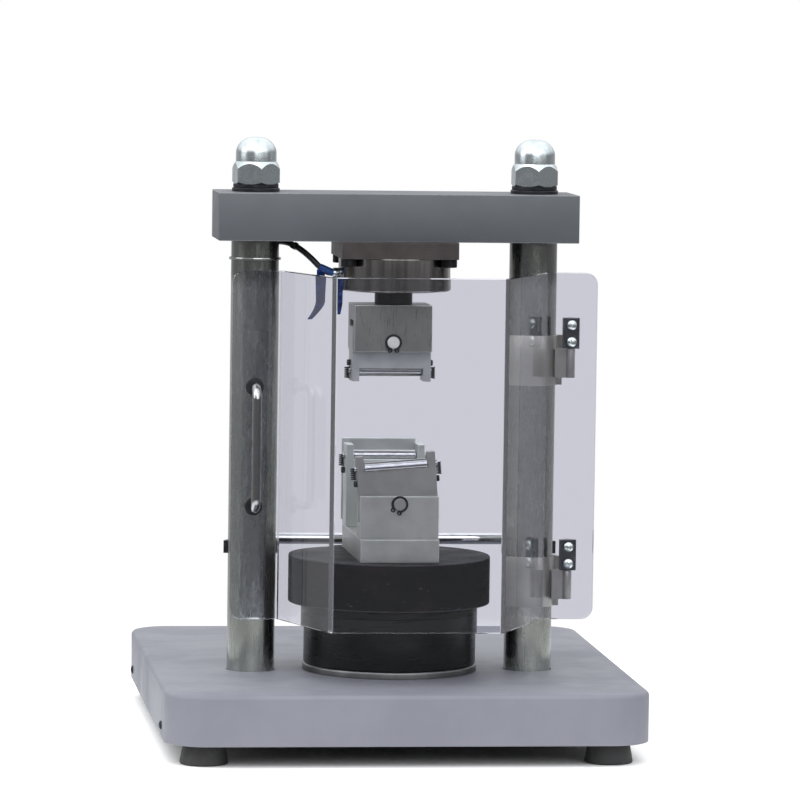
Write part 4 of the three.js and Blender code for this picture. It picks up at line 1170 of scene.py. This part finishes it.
tie_at = cable_points[5] + Vector((2 * MM, -1.5 * MM, -1 * MM))
tie_way = (cable_points[5] - cable_points[4]).normalized()
tie = tube_shape(2.55 * MM, 3.2 * MM, -1.3 * MM, 1.3 * MM, 36)
tie_head = rounded_slab(Vector((2.4 * MM, -2 * MM, -1.8 * MM)),
                        Vector((5.6 * MM, 2 * MM, 1.8 * MM)), 0.4 * MM, 2)
tie = carve(tie, tie_head, "UNION")
rotate(tie, tie_way.to_track_quat("Z", "Y").to_matrix())
shift(tie, tie_at)
piece = piece_of(tie, "cable_tie", CABLE_BLACK, FRAME_BODY)


# ---------------------------------------------------------------- blue tape
# Two turns of blue insulating tape bind the cable near the gland, and each ends in a loose tail
# that hangs down, one curled at its tip.
def blue_tape():
    finish = Finish("blue_tape", 0, 0.38)
    crease = finish.group(PATCHES, Size=260, Along_Z=0.5, Low=0.35, High=0.7)
    # The colour is darker in the creases' hollows and lighter on their ridges: painted shade and
    # light on the crinkled tape.
    finish.colour(finish.mix(crease, (0.006, 0.045, 0.24), (0.02, 0.09, 0.36)))
    finish.rough(finish.spread(crease, 0.3, 0.5))
    finish.bumps(crease, 0.2 * MM)
    return finish.material


BLUE_TAPE = blue_tape()


def tape_band(name, start, end):
    """A band of tape round the cable between two places on it."""
    along = end - start
    radius = 3.1 * MM
    shape = turned_shape([(2.5 * MM, 0), (radius - 0.2 * MM, 0), (radius, 0.2 * MM),
                          (radius, along.length - 0.2 * MM), (radius - 0.2 * MM, along.length),
                          (2.5 * MM, along.length), (2.5 * MM, 0)], 40)
    turn = along.to_track_quat("Z", "Y").to_matrix()
    rotate(shape, turn)
    shift(shape, start)
    return piece_of(shape, name, BLUE_TAPE, FRAME_BODY)


def tape_tail(name, top, drop, width, curl, sway):
    """A loose tail of tape: a strip swept down from the band, twisting and curling."""
    shape = bmesh.new()
    rows = 14
    previous = None
    for row in range(rows + 1):
        share = row / rows
        taper = 1 - 0.45 * max(0, share - 0.7) / 0.3
        twist = sway * math.sin(share * 2.2)
        reach = Vector((math.cos(twist), math.sin(twist), 0)) * width / 2 * taper
        middle = top + Vector((-curl * max(0, share - 0.65) ** 1.5, sway * 3 * MM * share,
                               -drop * share))
        pair = [shape.verts.new(middle - reach), shape.verts.new(middle + reach)]
        if previous:
            shape.faces.new((previous[0], previous[1], pair[1], pair[0]))
        previous = pair
    bmesh.ops.solidify(shape, geom=shape.faces[:], thickness=0.3 * MM)
    bmesh.ops.recalc_face_normals(shape, faces=shape.faces)
    return piece_of(shape, name, BLUE_TAPE, FRAME_BODY, crease=60)


tape_start, tape_end = cable_points[0] + Vector((MM, 0, 0)), cable_points[2]
for piece in (
    tape_band("cable_tape_band", tape_start, tape_end),
    tape_tail("cable_tape_tail_long", tape_end + Vector((0.8 * MM, -2.6 * MM, -2 * MM)),
              42 * MM, 7 * MM, 34 * MM, 0.5),
    tape_tail("cable_tape_tail_short", tape_start + Vector((5 * MM, -20 * MM, -3.5 * MM)),
              30 * MM, 5 * MM, 3 * MM, 0.3),
):
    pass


# ---------------------------------------------------------------- upper tool
# A black collar seats the tool on the cell's spigot. The forked block hangs from it, and a rocker
# with the loading roller tilts in the fork on a pin.
edge = 3 * MM
collar_r = (collar_high.x - collar_low.x) / 2
inner = spigot + 0.3 * MM
profile = [(inner, collar_low.z), (collar_r - 0.5 * MM, collar_low.z),
           (collar_r, collar_low.z + 0.5 * MM)]
profile += rounded(collar_r - edge, collar_high.z - edge, edge, 0, 90, 6)
profile += [(inner, collar_high.z), (inner, collar_low.z)]
shape = turned_shape(profile, 96)
shift(shape, (0, axis_y, 0))
collar = piece_of(shape, "seat_collar_black", BLACK_OXIDE, FRAME_BODY, "seat_collar")
UPPER_STEEL = tool_steel("upper_block_steel", 0.23, (1.0, 1.01, 0.93), 0.3)
UPPER_ROCKER_STEEL = tool_steel("upper_rocker_steel", 0.52, (0.95, 0.98, 0.97))
for node, material, width, body in (
    ("upper_block", UPPER_STEEL, 1.2 * MM, FRAME_BODY),
    ("upper_rocker", UPPER_ROCKER_STEEL, 0.6 * MM, "upper_rocker"),
):
    piece = piece_of(refined(node, width), node + "_ground", material, body, node)


# ---------------------------------------------------------------- rear bar
# A chromed 10 mm bar crosses behind the tools, held at each end by a black bracket that is
# screwed to the column's back.
low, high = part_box("rear_bar")
half = (high.x - low.x) / 2
bar_r = (high.z - low.z) / 2
shape = turned_shape([(0, -half), (bar_r - 0.5 * MM, -half), (bar_r, 0.5 * MM - half),
                      (bar_r, half - 0.5 * MM), (bar_r - 0.5 * MM, half), (0, half)], 48)
bar = piece_of(lay_along(shape, "X", (low + high) / 2), "rear_bar_chromed", CHROME, FRAME_BODY,
               "rear_bar")
for side in ("left", "right"):
    node = "bar_bracket_" + side
    piece = piece_of(refined(node, 0.6 * MM), node + "_black", BLACK_OXIDE, FRAME_BODY, node)


# ---------------------------------------------------------------- guard sheet
# The guard is one 4 mm acrylic sheet, heat-bent at four lines into a hat section. It is clear
# with a faint lavender-grey cast, and its sawn edges are polished and catch the light.
def clear_acrylic():
    finish = Finish("clear_acrylic", 0, 0.0)
    finish.shader.inputs["Base Color"].default_value = (0.79, 0.795, 0.85, 1)
    finish.shader.inputs["Transmission Weight"].default_value = 1
    finish.shader.inputs["IOR"].default_value = 1.49
    return finish.material


def painted_bend_shade():
    """The bent strips: a grey, part-clear film whose colour is painted shade, standing in for the
    thin dark lines along the bends.
    """
    finish = Finish("painted_bend_shade", 0, 0.08)
    finish.shader.inputs["Base Color"].default_value = (0.30, 0.302, 0.33, 1)
    finish.shader.inputs["Alpha"].default_value = 0.3
    return finish.material


guard_low, guard_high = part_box("guard_sheet")
sheet_thick = 4 * MM
flange_y = guard_high.y - sheet_thick / 2
front_y = guard_low.y + sheet_thick / 2
bend_lines = [
    (guard_low.x, flange_y), (-97 * MM, flange_y), (-62.5 * MM, front_y),
    (79 * MM, front_y), (125 * MM, flange_y), (guard_high.x, flange_y),
]


def bent_line(corners, radius, steps):
    """A plan line with each inner corner turned into an arc."""
    corners = [Vector(corner) for corner in corners]
    line = [corners[0]]
    for before, here, after in zip(corners, corners[1:], corners[2:]):
        arriving, leaving = (here - before).normalized(), (after - here).normalized()
        turn = leaving.angle_signed(arriving)
        back = radius * math.tan(abs(turn) / 2)
        start, side = here - arriving * back, math.copysign(1, turn)
        centre = start + Vector((-arriving.y, arriving.x)) * radius * side
        for step in range(steps + 1):
            spoke = start - centre
            spoke.rotate(Matrix.Rotation(turn * step / steps, 2))
            line.append(centre + spoke)
    return [*line, corners[-1]]


shape = bmesh.new()
plan = bent_line(bend_lines, 2.4 * MM, 6)
floor_points = [shape.verts.new((point.x, point.y, guard_low.z)) for point in plan]
for start, end in zip(floor_points, floor_points[1:]):
    shape.edges.new((start, end))
raised = bmesh.ops.extrude_edge_only(shape, edges=shape.edges[:])
# Faces in the bends take the second material, the painted grey shade along the bends.
for face in shape.faces:
    across = max(vert.co.xy.to_tuple() for vert in face.verts)
    nearest = min(vert.co.xy.to_tuple() for vert in face.verts)
    face.material_index = int(math.dist(across, nearest) < MM)
risen = [item for item in raised["geom"] if isinstance(item, bmesh.types.BMVert)]
bmesh.ops.translate(shape, verts=risen, vec=(0, 0, guard_high.z - guard_low.z))
outer = [vert for vert in shape.verts
         if min(abs(vert.co.x - guard_low.x), abs(vert.co.x - guard_high.x)) < 1e-5]
bmesh.ops.bevel(shape, geom=outer, offset=10 * MM, offset_type="OFFSET", segments=8,
                profile=0.5, affect="VERTICES", material=-1)
bmesh.ops.recalc_face_normals(shape, faces=shape.faces)
guard = piece_of(shape, "guard_sheet_acrylic", clear_acrylic(), "guard", "guard_sheet")
guard.data.materials.append(painted_bend_shade())
thickness = guard.modifiers.new("thickness", "SOLIDIFY")
thickness.thickness = sheet_thick
thickness.offset = 0
polished = guard.modifiers.new("polished_edges", "BEVEL")
polished.width = 0.5 * MM
polished.segments = 1
polished.limit_method = "ANGLE"
polished.angle_limit = math.radians(50)


# ---------------------------------------------------------------- guard handle
# A chromed 8 mm bow handle, screwed through the left flange, with a round washer under each end.
HANDLE_CHROME = polished_chrome("handle_chrome", 0.34, 0.1)
low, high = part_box("guard_handle")
washer_r = (high.x - low.x) / 2
handle_x = (low.x + high.x) / 2
handle_top, handle_foot = high.z - washer_r, low.z + washer_r
rod_r = 4 * MM
bow_y = low.y + rod_r
face_y = high.y
bend = 9 * MM
bow = [Vector((handle_x, face_y - 1.2 * MM, handle_top))]
for step in range(9):
    angle = math.pi / 2 * step / 8
    bow.append(Vector((handle_x, bow_y + bend - bend * math.sin(angle),
                       handle_top - bend + bend * math.cos(angle))))
bow += [Vector((point.x, point.y, handle_top + handle_foot - point.z)) for point in reversed(bow)]
handle = spring_wire(bow, rod_r, "guard_handle_bow", "guard")
handle.data.materials[0] = HANDLE_CHROME
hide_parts("guard_handle")
for place, z in (("upper", handle_top), ("lower", handle_foot)):
    shape = turned_shape([(0, 0), (washer_r, 0), (washer_r, 0.8 * MM),
                          (washer_r - 0.8 * MM, 1.6 * MM), (rod_r, 2 * MM), (0, 2 * MM)], 48)
    piece = piece_of(lay_along(shape, "Y", Vector((handle_x, face_y, z))),
                     f"handle_washer_{place}", BLACK_OXIDE, "guard")


# ---------------------------------------------------------------- hinges
# Two lift-off hinges of dull steel. A band grips the right column, its arm carries a knuckle with
# a fixed pin, and the leaf that drops over the pin is held to the sheet by two pan-head screws.
BAND_STEEL = tool_steel("band_steel", 0.44, (1.0, 0.98, 0.90), 0.36)
LEAF_STEEL = dull_steel("leaf_steel", (0.105, 0.112, 0.123), (0.075, 0.079, 0.086), 0.42)
for level_name in ("upper", "lower"):
    for part_name, material, body, slot in (
        ("hinge_band_", BAND_STEEL, FRAME_BODY, "plate_steel"),
        ("hinge_pin_", ZINC, FRAME_BODY, "zinc"),
        ("hinge_leaf_", LEAF_STEEL, "guard", "plate_steel"),
    ):
        node = part_name + level_name
        piece = piece_of(refined(node, 0.3 * MM, 2, 40), node + "_made", material, body, node)
    low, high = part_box("hinge_leaf_" + level_name)
    for index, z in enumerate((low.z + 6 * MM, high.z - 6 * MM)):
        shape = pan_head(4.2 * MM, math.radians(25 + 20 * index))
        centre = Vector(((low.x + high.x) / 2, flange_y - sheet_thick / 2, z))
        screw = piece_of(lay_along(shape, "Y", centre),
                         f"hinge_screw_{level_name}_{index + 1}", ZINC, "guard")
